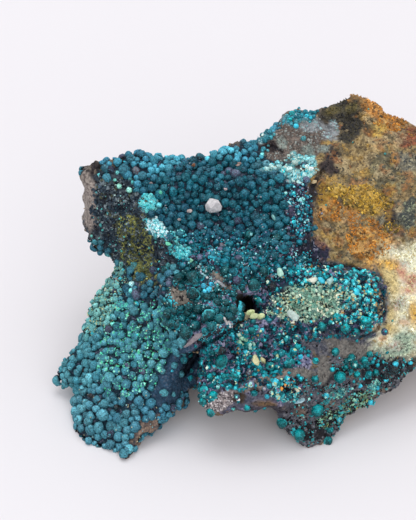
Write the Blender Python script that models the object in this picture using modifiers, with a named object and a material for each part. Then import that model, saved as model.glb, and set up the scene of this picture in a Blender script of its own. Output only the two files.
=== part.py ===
"""Chrysocolla on quartz, one hand-sized mineral specimen.

A broken piece of quartz rock, iron-stained at the back, with a crust of small round chrysocolla beads
grown on its front and top. The stone and its crust are one piece. It stands on three worn feet.
Lengths are in millimetres until the mesh is made. +Z is up and -Y is the side that shows the crust.
"""

import math
import random

import bmesh
import bpy
from mathutils import Matrix, Vector, noise
from mathutils.bvhtree import BVHTree

MM = 0.001
NAME = "chrysocolla_on_quartz"

# Where the tables below have the point that becomes the origin, under the middle of the stone
TABLE_ORIGIN = Vector((14.7, -0.8, 0.0))

# Each block is the convex hull of its corners. Together they are the stone before it weathered
BLOCKS = {
    # The overhanging arm at the upper left, which ends in a flat break
    "arm": [
        (-25.6, 6.0, 39.2), (-22.5, 6.5, 40.4), (-14.0, 7.0, 41.6), (-3.0, 5.5, 40.2), (-11.0, -5.5, 36.0),
        (-23.0, 1.5, 37.0), (-25.4, 7.0, 27.5), (-25.0, 5.0, 24.5), (-23.8, -0.8, 25.5), (-20.0, -2.0, 23.0),
        (-15.0, -4.0, 20.0), (-23.0, 12.0, 33.0), (-22.0, 11.0, 25.0), (-6.0, 14.0, 31.0), (-6.0, 2.0, 26.0),
    ],
    # The crest that runs right from the arm
    "crest": [
        (-16.0, 6.5, 41.2), (-8.5, 6.5, 40.6), (-0.5, 6.5, 39.2), (2.0, 11.0, 37.2), (-12.0, 14.0, 31.0),
        (0.0, 16.0, 31.0), (-12.0, 6.0, 20.0), (6.0, 2.0, 22.0), (-8.0, 18.0, 14.0), (4.0, 20.0, 14.0),
    ],
    # The saddle where it rises to the quartz knob
    "saddle": [
        (-2.0, 6.5, 38.8), (3.0, 9.0, 40.0), (5.0, 12.5, 40.0), (9.0, 12.5, 40.4), (11.0, 15.0, 40.5),
        (16.0, 6.0, 37.0), (2.0, 18.0, 31.0), (12.0, 24.0, 29.0), (2.0, 22.0, 14.0), (14.0, 26.0, 14.0),
        (6.0, 0.0, 24.0), (18.0, 0.0, 22.0),
    ],
    # The body under the hollow of beads
    "body": [
        (-12.0, -4.0, 36.0), (-14.0, 0.0, 22.0), (-7.5, -13.0, 27.5), (7.0, -18.0, 28.5), (18.0, -14.0, 31.5),
        (20.0, 4.0, 37.5), (-2.0, 6.0, 39.5), (-10.0, -10.0, 16.0), (8.0, -16.0, 14.0), (22.0, -10.0, 12.0),
        (-8.0, 8.0, 10.0), (24.0, 10.0, 10.0),
    ],
    # The leg at the lower left, a slanting slab that stands on its tip
    "leg": [
        (-17.0, -4.0, 24.0), (-12.0, -7.0, 27.0), (-5.0, -13.0, 24.0), (-2.0, -19.0, 19.0), (-21.2, -4.5, 21.0),
        (-21.0, -8.0, 18.0), (-23.2, -11.0, 12.0), (-25.4, -13.5, 7.0), (-26.0, -18.0, 2.0),
        (-27.0, -25.5, -1.5), (-25.0, -32.0, -1.5), (-17.0, -36.8, -1.5), (-12.0, -34.0, 0.5),
        (-7.0, -28.0, 3.0), (-22.0, -12.0, 2.0), (-14.0, -4.0, 10.0), (-6.0, -12.0, 8.0),
    ],
    # The spur on the leg's left side
    "spur": [
        (-30.8, -16.0, 4.2), (-30.4, -18.4, 2.6), (-26.0, -13.0, 9.0), (-25.0, -19.0, 5.0), (-24.0, -14.0, 2.0),
        (-24.0, -18.0, 8.0),
    ],
    # The rib behind the leg's right side
    "rib": [
        (-12.0, -14.0, 18.0), (-3.0, -16.0, 18.0), (1.0, -20.0, 7.0), (-2.0, -23.5, 4.0), (-6.5, -27.0, 2.0),
        (-11.5, -28.0, 0.0), (-14.0, -20.0, 0.0), (-8.0, -8.0, 4.0), (4.0, -12.0, 10.0), (2.0, -14.0, 20.0),
    ],
    # The shelf of large beads beside the pit
    "shelf": [
        (-9.0, -14.0, 27.5), (-1.5, -15.0, 30.0), (5.0, -18.5, 29.5), (6.0, -25.0, 25.5), (1.5, -27.0, 22.5),
        (-2.5, -26.5, 19.0), (-6.5, -24.5, 19.5), (-8.0, -18.0, 16.0), (4.0, -20.0, 16.0),
    ],
    # The front ledge with the bare quartz lip
    "ledge": [
        (0.0, -23.0, 18.5), (6.0, -23.5, 22.0), (18.0, -25.0, 22.5), (19.0, -31.5, 13.0), (3.0, -34.4, 10.5),
        (-2.4, -31.0, 11.5), (-1.4, -33.0, 9.0), (1.5, -33.2, 8.2), (14.0, -30.0, 8.6), (2.0, -18.0, 10.0),
        (20.0, -16.0, 8.0),
    ],
    # The rounded lobe across the middle right
    "lobe": [
        (6.0, -20.5, 25.5), (8.5, -17.5, 28.5), (18.0, -15.0, 31.0), (27.0, -14.0, 30.5), (34.0, -15.0, 27.5),
        (35.5, -18.0, 23.5), (32.5, -21.5, 21.0), (18.0, -25.0, 21.5), (8.0, -24.0, 21.0), (30.0, -10.0, 18.0),
        (12.0, -10.0, 18.0),
    ],
    # The dark block at the lower right, which stands on its lower end
    "foot": [
        (18.0, -22.0, 20.0), (32.5, -20.0, 20.0), (41.0, -19.0, 11.5), (50.0, -13.0, 13.0), (26.0, -29.6, 3.2),
        (22.8, -33.2, -1.5), (19.0, -31.4, -1.5), (13.6, -31.0, 4.5), (12.6, -28.5, 6.5), (18.0, -27.0, 17.5),
        (17.0, -25.0, -1.5), (26.0, -25.0, -1.5), (36.0, -14.0, 4.0), (18.0, -14.0, 5.0), (40.0, -12.0, 20.0),
    ],
    # The iron-stained mass at the back right
    "gossan": [
        (15.0, 2.0, 36.0), (19.0, 5.0, 38.0), (27.5, 14.0, 39.5), (31.0, 24.0, 41.0), (42.0, 21.5, 39.5),
        (16.0, -11.0, 28.5), (42.0, -12.0, 23.0), (39.0, -19.5, 17.5), (42.0, -20.0, 10.5), (53.0, 19.0, 37.0),
        (57.0, 8.0, 35.0), (59.5, -6.0, 25.0), (58.0, -13.0, 15.0), (54.0, -12.0, 9.5), (57.0, 8.0, 9.0),
        (53.0, 24.0, 16.0), (18.0, 28.0, 16.0), (44.0, 31.0, 16.0), (22.0, -6.0, 6.0),
    ],
    # The pale quartz knob on the skyline
    "knob": [
        (9.5, 14.0, 40.5), (13.5, 18.5, 41.0), (16.0, 22.0, 41.0), (21.5, 22.5, 41.0), (26.0, 13.0, 39.0),
        (23.0, 3.5, 37.0), (12.5, 7.0, 37.5), (10.0, 22.0, 28.0), (24.0, 30.0, 26.0), (12.0, 8.0, 24.0),
    ],
    # The dark peak beside it
    "peak": [
        (24.0, 24.5, 41.0), (28.0, 25.5, 41.6), (32.0, 25.5, 42.0), (35.0, 23.5, 41.5), (37.5, 20.5, 40.0),
        (29.5, 13.0, 38.5), (23.0, 14.0, 38.0), (26.0, 32.0, 28.0), (38.0, 30.0, 26.0),
    ],
    # The rough break down the back
    "back": [
        (-9.0, 17.0, 15.0), (-3.0, 18.5, 27.0), (14.0, 22.5, 30.0), (26.0, 26.5, 32.0), (40.0, 31.0, 29.0),
        (49.0, 27.0, 22.0), (-7.0, 20.0, 9.0), (10.0, 30.0, 8.0), (36.0, 34.0, 8.0), (50.0, 26.0, 10.0),
        (2.0, 4.0, 16.0), (44.0, 2.0, 14.0), (10.0, 2.0, 30.0), (40.0, 8.0, 30.0),
    ],
    # The broken underside, with the broad back foot
    "base": [
        (-6.0, 10.0, 8.0), (4.0, 24.0, 6.0), (12.0, 13.0, -1.5), (17.0, 25.0, -1.5), (35.0, 26.0, -1.5),
        (40.0, 12.0, -1.5), (26.0, 6.0, -1.5), (50.0, 20.0, 4.0), (8.0, -12.0, 8.0), (44.0, -10.0, 6.5),
        (56.0, 6.0, 10.0), (32.0, 31.0, 4.0), (4.0, 0.0, 12.0), (6.0, 26.0, 16.0), (34.0, 32.0, 16.0),
        (54.0, 12.0, 18.0),
    ],
}

# Each hollow is an ellipsoid taken out of the stone: centre, radii and its lean about X in degrees
HOLLOWS = {
    "basin": ((3.0, -7.7, 40.8), (18.0, 12.0, 9.5), 30.0),
    "pit": ((8.2, -19.5, 25.6), (2.1, 2.8, 7.0), 48.0),
    "notch": ((26.5, 20.0, 44.0), (3.0, 7.0, 5.0), 0.0),
    "scoop": ((42.0, -2.0, 41.0), (7.0, 9.0, 6.5), 25.0),
}

# Quartz crystals and flakes that stand out of the crust: where they are seen, as for the crust below,
# their half sizes across, up and towards the viewer, and their turn in degrees
CRYSTALS = {
    "white_crystal": ((1.2, 11.4), (1.5, 1.5, 1.6), 20.0),
    "green_blade": ((17.1, -11.2), (2.1, 1.0, 1.3), -38.0),
    "pale_flake": ((9.0, -11.7), (1.5, 0.8, 1.2), 10.0),
    "cream_flake": ((10.0, -19.9), (0.9, 1.4, 1.2), -25.0),
    "lip_flake": ((18.6, -28.0), (1.3, 0.8, 1.2), 25.0),
    "mint_flake": ((14.6, -2.6), (0.8, 1.2, 1.2), -20.0),
}

# Where the crust grew thick, seen from the front and VIEW_RISE degrees above: the middle across and up
# from a point FOCUS_HEIGHT over the table, the half width and half height, the turn in degrees, how far
# apart the lumps are and how big
VIEW_RISE = 42.0
FOCUS_HEIGHT = 20.0
CRUST = {
    "leg": ((-16.6, -21.0), (10.5, 20.0), -16.0, 2.6, (1.3, 1.9)),
    "arm_top": ((-15.0, 17.5), (11.0, 4.0), -5.0, 2.5, (1.2, 1.8)),
    "basin": ((2.0, 8.5), (18.0, 12.0), 0.0, 2.6, (1.2, 1.9)),
    "shelf": ((-1.0, -9.5), (9.0, 8.0), 0.0, 2.8, (1.5, 2.2)),
    "ledge": ((6.0, -20.0), (9.5, 8.5), 0.0, 2.5, (1.1, 1.7)),
    "lobe": ((21.5, -8.5), (16.5, 7.5), 0.0, 2.5, (1.2, 1.8)),
    "foot": ((27.0, -27.0), (15.0, 9.0), 35.0, 4.0, (0.9, 1.4)),
}
# Where the quartz shows through the crust: the arm's dark front, the mouth of the pit and the ledge's lip
BARE = {
    "arm_front": ((-15.5, 5.0), (6.5, 10.5), 25.0),
    "pit": ((8.2, -8.6), (2.6, 3.4), 0.0),
    "lip": ((4.9, -29.0), (6.5, 3.0), 17.0),
}

FUSE_VOXEL = 0.8
CRUST_VOXEL = 0.6
LUMP_SINK = 0.15
MOST_TRIANGLES = 9300
SEED = 42


def clear_scene():
    for obj in list(bpy.data.objects):
        bpy.data.objects.remove(obj)


def new_collection(name):
    collection = bpy.data.collections.new(name)
    bpy.context.scene.collection.children.link(collection)
    return collection


def new_object(name, bm, collection):
    mesh = bpy.data.meshes.new(name)
    bm.to_mesh(mesh)
    bm.free()
    obj = bpy.data.objects.new(name, mesh)
    collection.objects.link(obj)
    return obj


def apply_modifiers(obj):
    """Puts the evaluated mesh in place of the object's own and takes its modifiers off."""
    graph = bpy.context.evaluated_depsgraph_get()
    mesh = bpy.data.meshes.new_from_object(obj.evaluated_get(graph))
    obj.modifiers.clear()
    obj.data = mesh


def hull_into(bm, corners):
    """Adds the convex hull of the corners to bm."""
    points = [bm.verts.new((Vector(corner) - TABLE_ORIGIN) * MM) for corner in corners]
    made = bmesh.ops.convex_hull(bm, input=points)
    spare = {part for part in made["geom_interior"] + made["geom_unused"] if isinstance(part, bmesh.types.BMVert)}
    bmesh.ops.delete(bm, geom=list(spare), context="VERTS")


def keep_outer_skin(obj):
    """Drops every closed shell but the widest one, such as the skin of a hollow sealed inside."""
    bm = bmesh.new()
    bm.from_mesh(obj.data)
    unseen = set(bm.verts)
    shells = []
    while unseen:
        edge_of_search = [unseen.pop()]
        shell = []
        while edge_of_search:
            vert = edge_of_search.pop()
            shell.append(vert)
            for edge in vert.link_edges:
                other = edge.other_vert(vert)
                if other in unseen:
                    unseen.remove(other)
                    edge_of_search.append(other)
        shells.append(shell)
    shells.sort(key=len, reverse=True)
    for shell in shells[1:]:
        bmesh.ops.delete(bm, geom=shell, context="VERTS")
    bm.to_mesh(obj.data)
    bm.free()


def fuse(obj, voxel):
    """Joins what overlaps in the object into one closed skin."""
    remesh = obj.modifiers.new("fuse", "REMESH")
    remesh.mode = "VOXEL"
    remesh.voxel_size = voxel * MM
    apply_modifiers(obj)
    keep_outer_skin(obj)


def hollow_out(stone, name, cutters):
    centre, radii, lean = HOLLOWS[name]
    bm = bmesh.new()
    bmesh.ops.create_icosphere(bm, subdivisions=3, radius=1.0)
    place = Matrix.Translation((Vector(centre) - TABLE_ORIGIN) * MM)
    turn = Matrix.Rotation(math.radians(lean), 4, "X")
    size = Matrix.Diagonal((*(Vector(radii) * MM), 1.0))
    bmesh.ops.transform(bm, matrix=place @ turn @ size, verts=bm.verts)
    cutter = new_object("hollow_" + name, bm, cutters)
    cutter.hide_render = True
    cutter.display_type = "WIRE"
    cut = stone.modifiers.new(name, "BOOLEAN")
    cut.operation = "DIFFERENCE"
    cut.solver = "EXACT"
    cut.object = cutter


def weather(stone):
    """Roughens the stone with broad swells, knuckles and chips, more so towards its back right."""
    bm = bmesh.new()
    bm.from_mesh(stone.data)
    bm.normal_update()
    shifts = []
    for vert in bm.verts:
        place = vert.co / MM + TABLE_ORIGIN
        broken = 1.0 + max(0.0, place.x + place.y - 20.0) / 40.0
        swell = noise.noise(place / 10.0) * 1.2
        knuckle = noise.noise(place / 4.0 + Vector((7.0, 3.0, 1.0))) * 0.8
        near, next_near = noise.voronoi(place / 6.0)[0][:2]
        chip = min(next_near - near, 0.5) * 1.4 - 0.4
        shifts.append(vert.normal * (swell + knuckle + chip) * broken * MM)
    for vert, shift in zip(bm.verts, shifts):
        vert.co += shift
    bm.to_mesh(stone.data)
    bm.free()


def view_place(point):
    """Where a point in metres is seen, across and up in millimetres."""
    place = point / MM + TABLE_ORIGIN
    rise = math.radians(VIEW_RISE)
    return place.x, place.y * math.sin(rise) + (place.z - FOCUS_HEIGHT) * math.cos(rise)


def inside_oval(across, up, middle, half, turn):
    angle = math.radians(turn)
    dx = across - middle[0]
    dy = up - middle[1]
    along = dx * math.cos(angle) + dy * math.sin(angle)
    over = dy * math.cos(angle) - dx * math.sin(angle)
    return (along / half[0]) ** 2 + (over / half[1]) ** 2 < 1.0


def crust_at(point, normal):
    """The crust patch that a point of the stone is in, or None."""
    rise = math.radians(VIEW_RISE)
    if normal.z * math.sin(rise) - normal.y * math.cos(rise) < -0.1:
        return None
    across, up = view_place(point)
    if any(inside_oval(across, up, *oval) for oval in BARE.values()):
        return None
    for patch, (middle, half, turn, _, _) in CRUST.items():
        if inside_oval(across, up, middle, half, turn):
            return patch
    return None


def lump_seats(stone, rng):
    """Places on the crust, with the normal and the lump's radius, no nearer than the patch allows."""
    faces = [face for face in stone.data.polygons if crust_at(face.center, face.normal)]
    rng.shuffle(faces)
    seats = []
    for face in faces:
        patch = crust_at(face.center, face.normal)
        apart = CRUST[patch][3] * MM
        if all((face.center - seat[0]).length > apart for seat in seats):
            seats.append((face.center.copy(), face.normal.copy(), rng.uniform(*CRUST[patch][4]) * MM))
    return seats


def grow_lumps(stone, rng):
    """Adds the crust's lumps to the stone, sunk a little into it."""
    bm = bmesh.new()
    bm.from_mesh(stone.data)
    for centre, normal, radius in lump_seats(stone, rng):
        seat = Matrix.Translation(centre - normal * radius * LUMP_SINK)
        bmesh.ops.create_icosphere(bm, subdivisions=2, radius=radius, matrix=seat)
    bm.to_mesh(stone.data)
    bm.free()


def set_crystals(stone):
    """Joins the quartz crystals to the stone where a look from the viewer's side meets it."""
    tree = BVHTree.FromObject(stone, bpy.context.evaluated_depsgraph_get())
    rise = math.radians(VIEW_RISE)
    bm = bmesh.new()
    for (across, up), half, turn in CRYSTALS.values():
        start = Vector((across, up * math.sin(rise), FOCUS_HEIGHT + up * math.cos(rise))) - TABLE_ORIGIN
        gaze = Vector((0.0, math.cos(rise), -math.sin(rise)))
        found = tree.ray_cast((start - gaze * 100.0) * MM, gaze)[0]
        facing = Matrix.Rotation(rise - math.pi / 2, 4, "X").inverted()
        spin = Matrix.Rotation(math.radians(turn), 4, "Z")
        size = Matrix.Diagonal((*(Vector(half) * MM), 1.0))
        place = Matrix.Translation(found) @ facing @ spin @ size
        bmesh.ops.create_cone(
            bm, cap_ends=True, segments=6, radius1=1.0, radius2=0.55, depth=2.0, matrix=place
        )
    crystals = new_object("crystals", bm, stone.users_collection[0])
    join = stone.modifiers.new("crystals", "BOOLEAN")
    join.operation = "UNION"
    join.solver = "EXACT"
    join.object = crystals
    apply_modifiers(stone)
    bpy.data.objects.remove(crystals)


def thin_out(stone):
    """Brings the stone down to the faces that its shape needs."""
    triangles = sum(len(face.vertices) - 2 for face in stone.data.polygons)
    thin = stone.modifiers.new("thin", "DECIMATE")
    thin.ratio = MOST_TRIANGLES / triangles
    apply_modifiers(stone)


def flatten_feet(stone, cutters):
    """Cuts off what reaches below the table, which leaves the three feet flat."""
    bm = bmesh.new()
    place = Matrix.Translation((0.0, 0.0, -50.0 * MM)) @ Matrix.Diagonal((0.3, 0.3, 0.1, 1.0))
    bmesh.ops.create_cube(bm, size=1.0, matrix=place)
    table = new_object("below_table", bm, cutters)
    table.hide_render = True
    table.display_type = "WIRE"
    cut = stone.modifiers.new("feet", "BOOLEAN")
    cut.operation = "DIFFERENCE"
    cut.solver = "EXACT"
    cut.object = table


def rock_material():
    material = bpy.data.materials.new("teal_crusted_rock")
    material.use_nodes = True
    shader = material.node_tree.nodes["Principled BSDF"]
    shader.inputs["Base Color"].default_value = (0.05, 0.18, 0.21, 1.0)
    shader.inputs["Roughness"].default_value = 0.7
    shader.inputs["Metallic"].default_value = 0.0
    return material


def build_stone():
    specimen = new_collection(NAME)
    cutters = new_collection("cutters")
    rng = random.Random(SEED)
    bm = bmesh.new()
    for corners in BLOCKS.values():
        hull_into(bm, corners)
    stone = new_object(NAME, bm, specimen)
    fuse(stone, FUSE_VOXEL)
    weather(stone)
    for name in HOLLOWS:
        hollow_out(stone, name, cutters)
    apply_modifiers(stone)
    grow_lumps(stone, rng)
    fuse(stone, CRUST_VOXEL)
    thin_out(stone)
    set_crystals(stone)
    flatten_feet(stone, cutters)
    stone.data.materials.append(rock_material())
    return stone


clear_scene()
build_stone()
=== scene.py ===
"""Looks of the chrysocolla on quartz specimen: rock, crust of beads, grains, crystals, light and camera."""

import math
from collections import namedtuple
from itertools import product

import bmesh
import bpy
import numpy as np
from mathutils import Matrix, Vector, noise
from mathutils.bvhtree import BVHTree


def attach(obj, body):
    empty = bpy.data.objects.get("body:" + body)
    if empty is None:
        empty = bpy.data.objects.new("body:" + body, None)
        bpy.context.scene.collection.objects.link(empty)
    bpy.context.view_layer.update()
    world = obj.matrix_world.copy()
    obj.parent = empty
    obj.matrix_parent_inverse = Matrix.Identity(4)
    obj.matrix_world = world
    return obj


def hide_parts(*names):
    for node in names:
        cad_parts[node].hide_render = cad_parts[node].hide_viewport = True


MM = 0.001
NODE = "chrysocolla_on_quartz"
BODY = "root"

# The photo's camera, in millimetres of the row frame
RISE = math.radians(42.0)
DISTANCE = 380.0
LENS = 130.0
SENSOR = 36.0
FRAME_W = 416
FRAME_H = 520
TARGET = np.array((-14.7, 0.8, 20.0))
ALONG = np.array((1.0, 0.0, 0.0))
AHEAD = np.array((0.0, math.cos(RISE), -math.sin(RISE)))
OVER = np.array((0.0, math.sin(RISE), math.cos(RISE)))
EYE = TARGET - DISTANCE * AHEAD
PIXEL = SENSOR / LENS / FRAME_H
MM_A_PIXEL = 0.2
# A surface is out of the photo below this cosine, and behind the CAD rock past this many millimetres
TURNED = -0.1
VIEW_SLACK = 3.0
# More pixels than any place is from an oval or a path
FAR = 1e3

# The rock's mesh: voxels in millimetres, rounds of softening, and how deep it lies under a full cover of
# beads
VOXEL = 0.43
SMOOTH_ROUNDS = 10
SINK = 0.45
FULL_COVER = 1.5
MOST_TRIANGLES = 170000
THIN_LEVELS = 10

# The columns of the rock's state past its three colours, and those of the crust's state
GRAIN, RELIEF = 9, 10
NUMBER, LOW, HIGH, ROUGH, ODD_SHARE = 0, 1, 2, 12, 13
TIP_A, TIP_B, FOOT_SHADE_AND_RIM = slice(3, 6), slice(6, 9), slice(9, 12)

# Where the rock's colours lie. Ovals are (middle x, middle y, half width, half height, degrees turned
# clockwise) in pixels of the photo. Then come the main, second and speck colour of the grains, how
# grainy, and how rough it is.
BED_AND_STAINS = {
    # The dark rock under the crust, partly painted shade in the gaps between the beads
    "crust_bed": ([(130, 345, 72, 120, 18), (200, 215, 122, 72, 0), (270, 150, 34, 30, -30),
        (330, 300, 66, 38, 5)], (30, 46, 64), (20, 52, 66), (84, 92, 112), 0.6, 0.1),
    "gossan": ([(365, 190, 62, 80, 0), (420, 250, 50, 120, 0), (395, 130, 50, 40, 20),
        (520, 230, 130, 180, 0)], (164, 140, 98), (140, 122, 84), (88, 82, 68), 1.0, 0.4),
    "khaki": ([(385, 170, 40, 20, 0)], (142, 134, 102), (122, 114, 86), (82, 80, 68), 1.0, 0.35),
    "tan": ([(358, 150, 16, 22, 0), (332, 246, 18, 14, 0)], (166, 146, 104), (148, 126, 86), (104, 90, 68),
        1.0, 0.35),
    "brown": ([(325, 194, 16, 12, 0)], (134, 100, 50), (152, 122, 52), (66, 56, 46), 1.0, 0.4),
    "orange": ([(342, 213, 24, 11, 0), (374, 246, 22, 22, -20), (390, 112, 17, 20, -35),
        (460, 240, 30, 30, 0)], (216, 170, 98), (198, 156, 98), (132, 108, 76), 1.0, 0.4),
    "yellow": ([(366, 200, 23, 13, 15), (338, 191, 10, 7, 0), (378, 129, 8, 8, 0), (391, 227, 8, 6, 0)],
        (216, 182, 96), (194, 162, 88), (124, 110, 70), 1.0, 0.4),
    "mauve": ([(318, 250, 10, 12, 0)], (138, 104, 92), (112, 84, 78), (80, 60, 62), 1.0, 0.3),
    "red": ([(408, 138, 14, 11, 0), (404, 256, 5, 8, 0)], (158, 96, 68), (132, 86, 64), (100, 70, 56), 1.0,
        0.3),
    "grey": ([(410, 162, 14, 12, 0), (394, 220, 14, 17, 0)], (146, 140, 118), (114, 112, 100), (68, 72, 72),
        1.0, 0.35),
    "dark_seams": ([(333, 160, 10, 15, 15), (345, 133, 9, 9, 0), (391, 214, 6, 11, 0), (311, 200, 6, 30, 8),
        (306, 246, 7, 20, -10)], (58, 54, 54), (78, 68, 54), (38, 38, 44), 1.0, 0.35),
}
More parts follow.
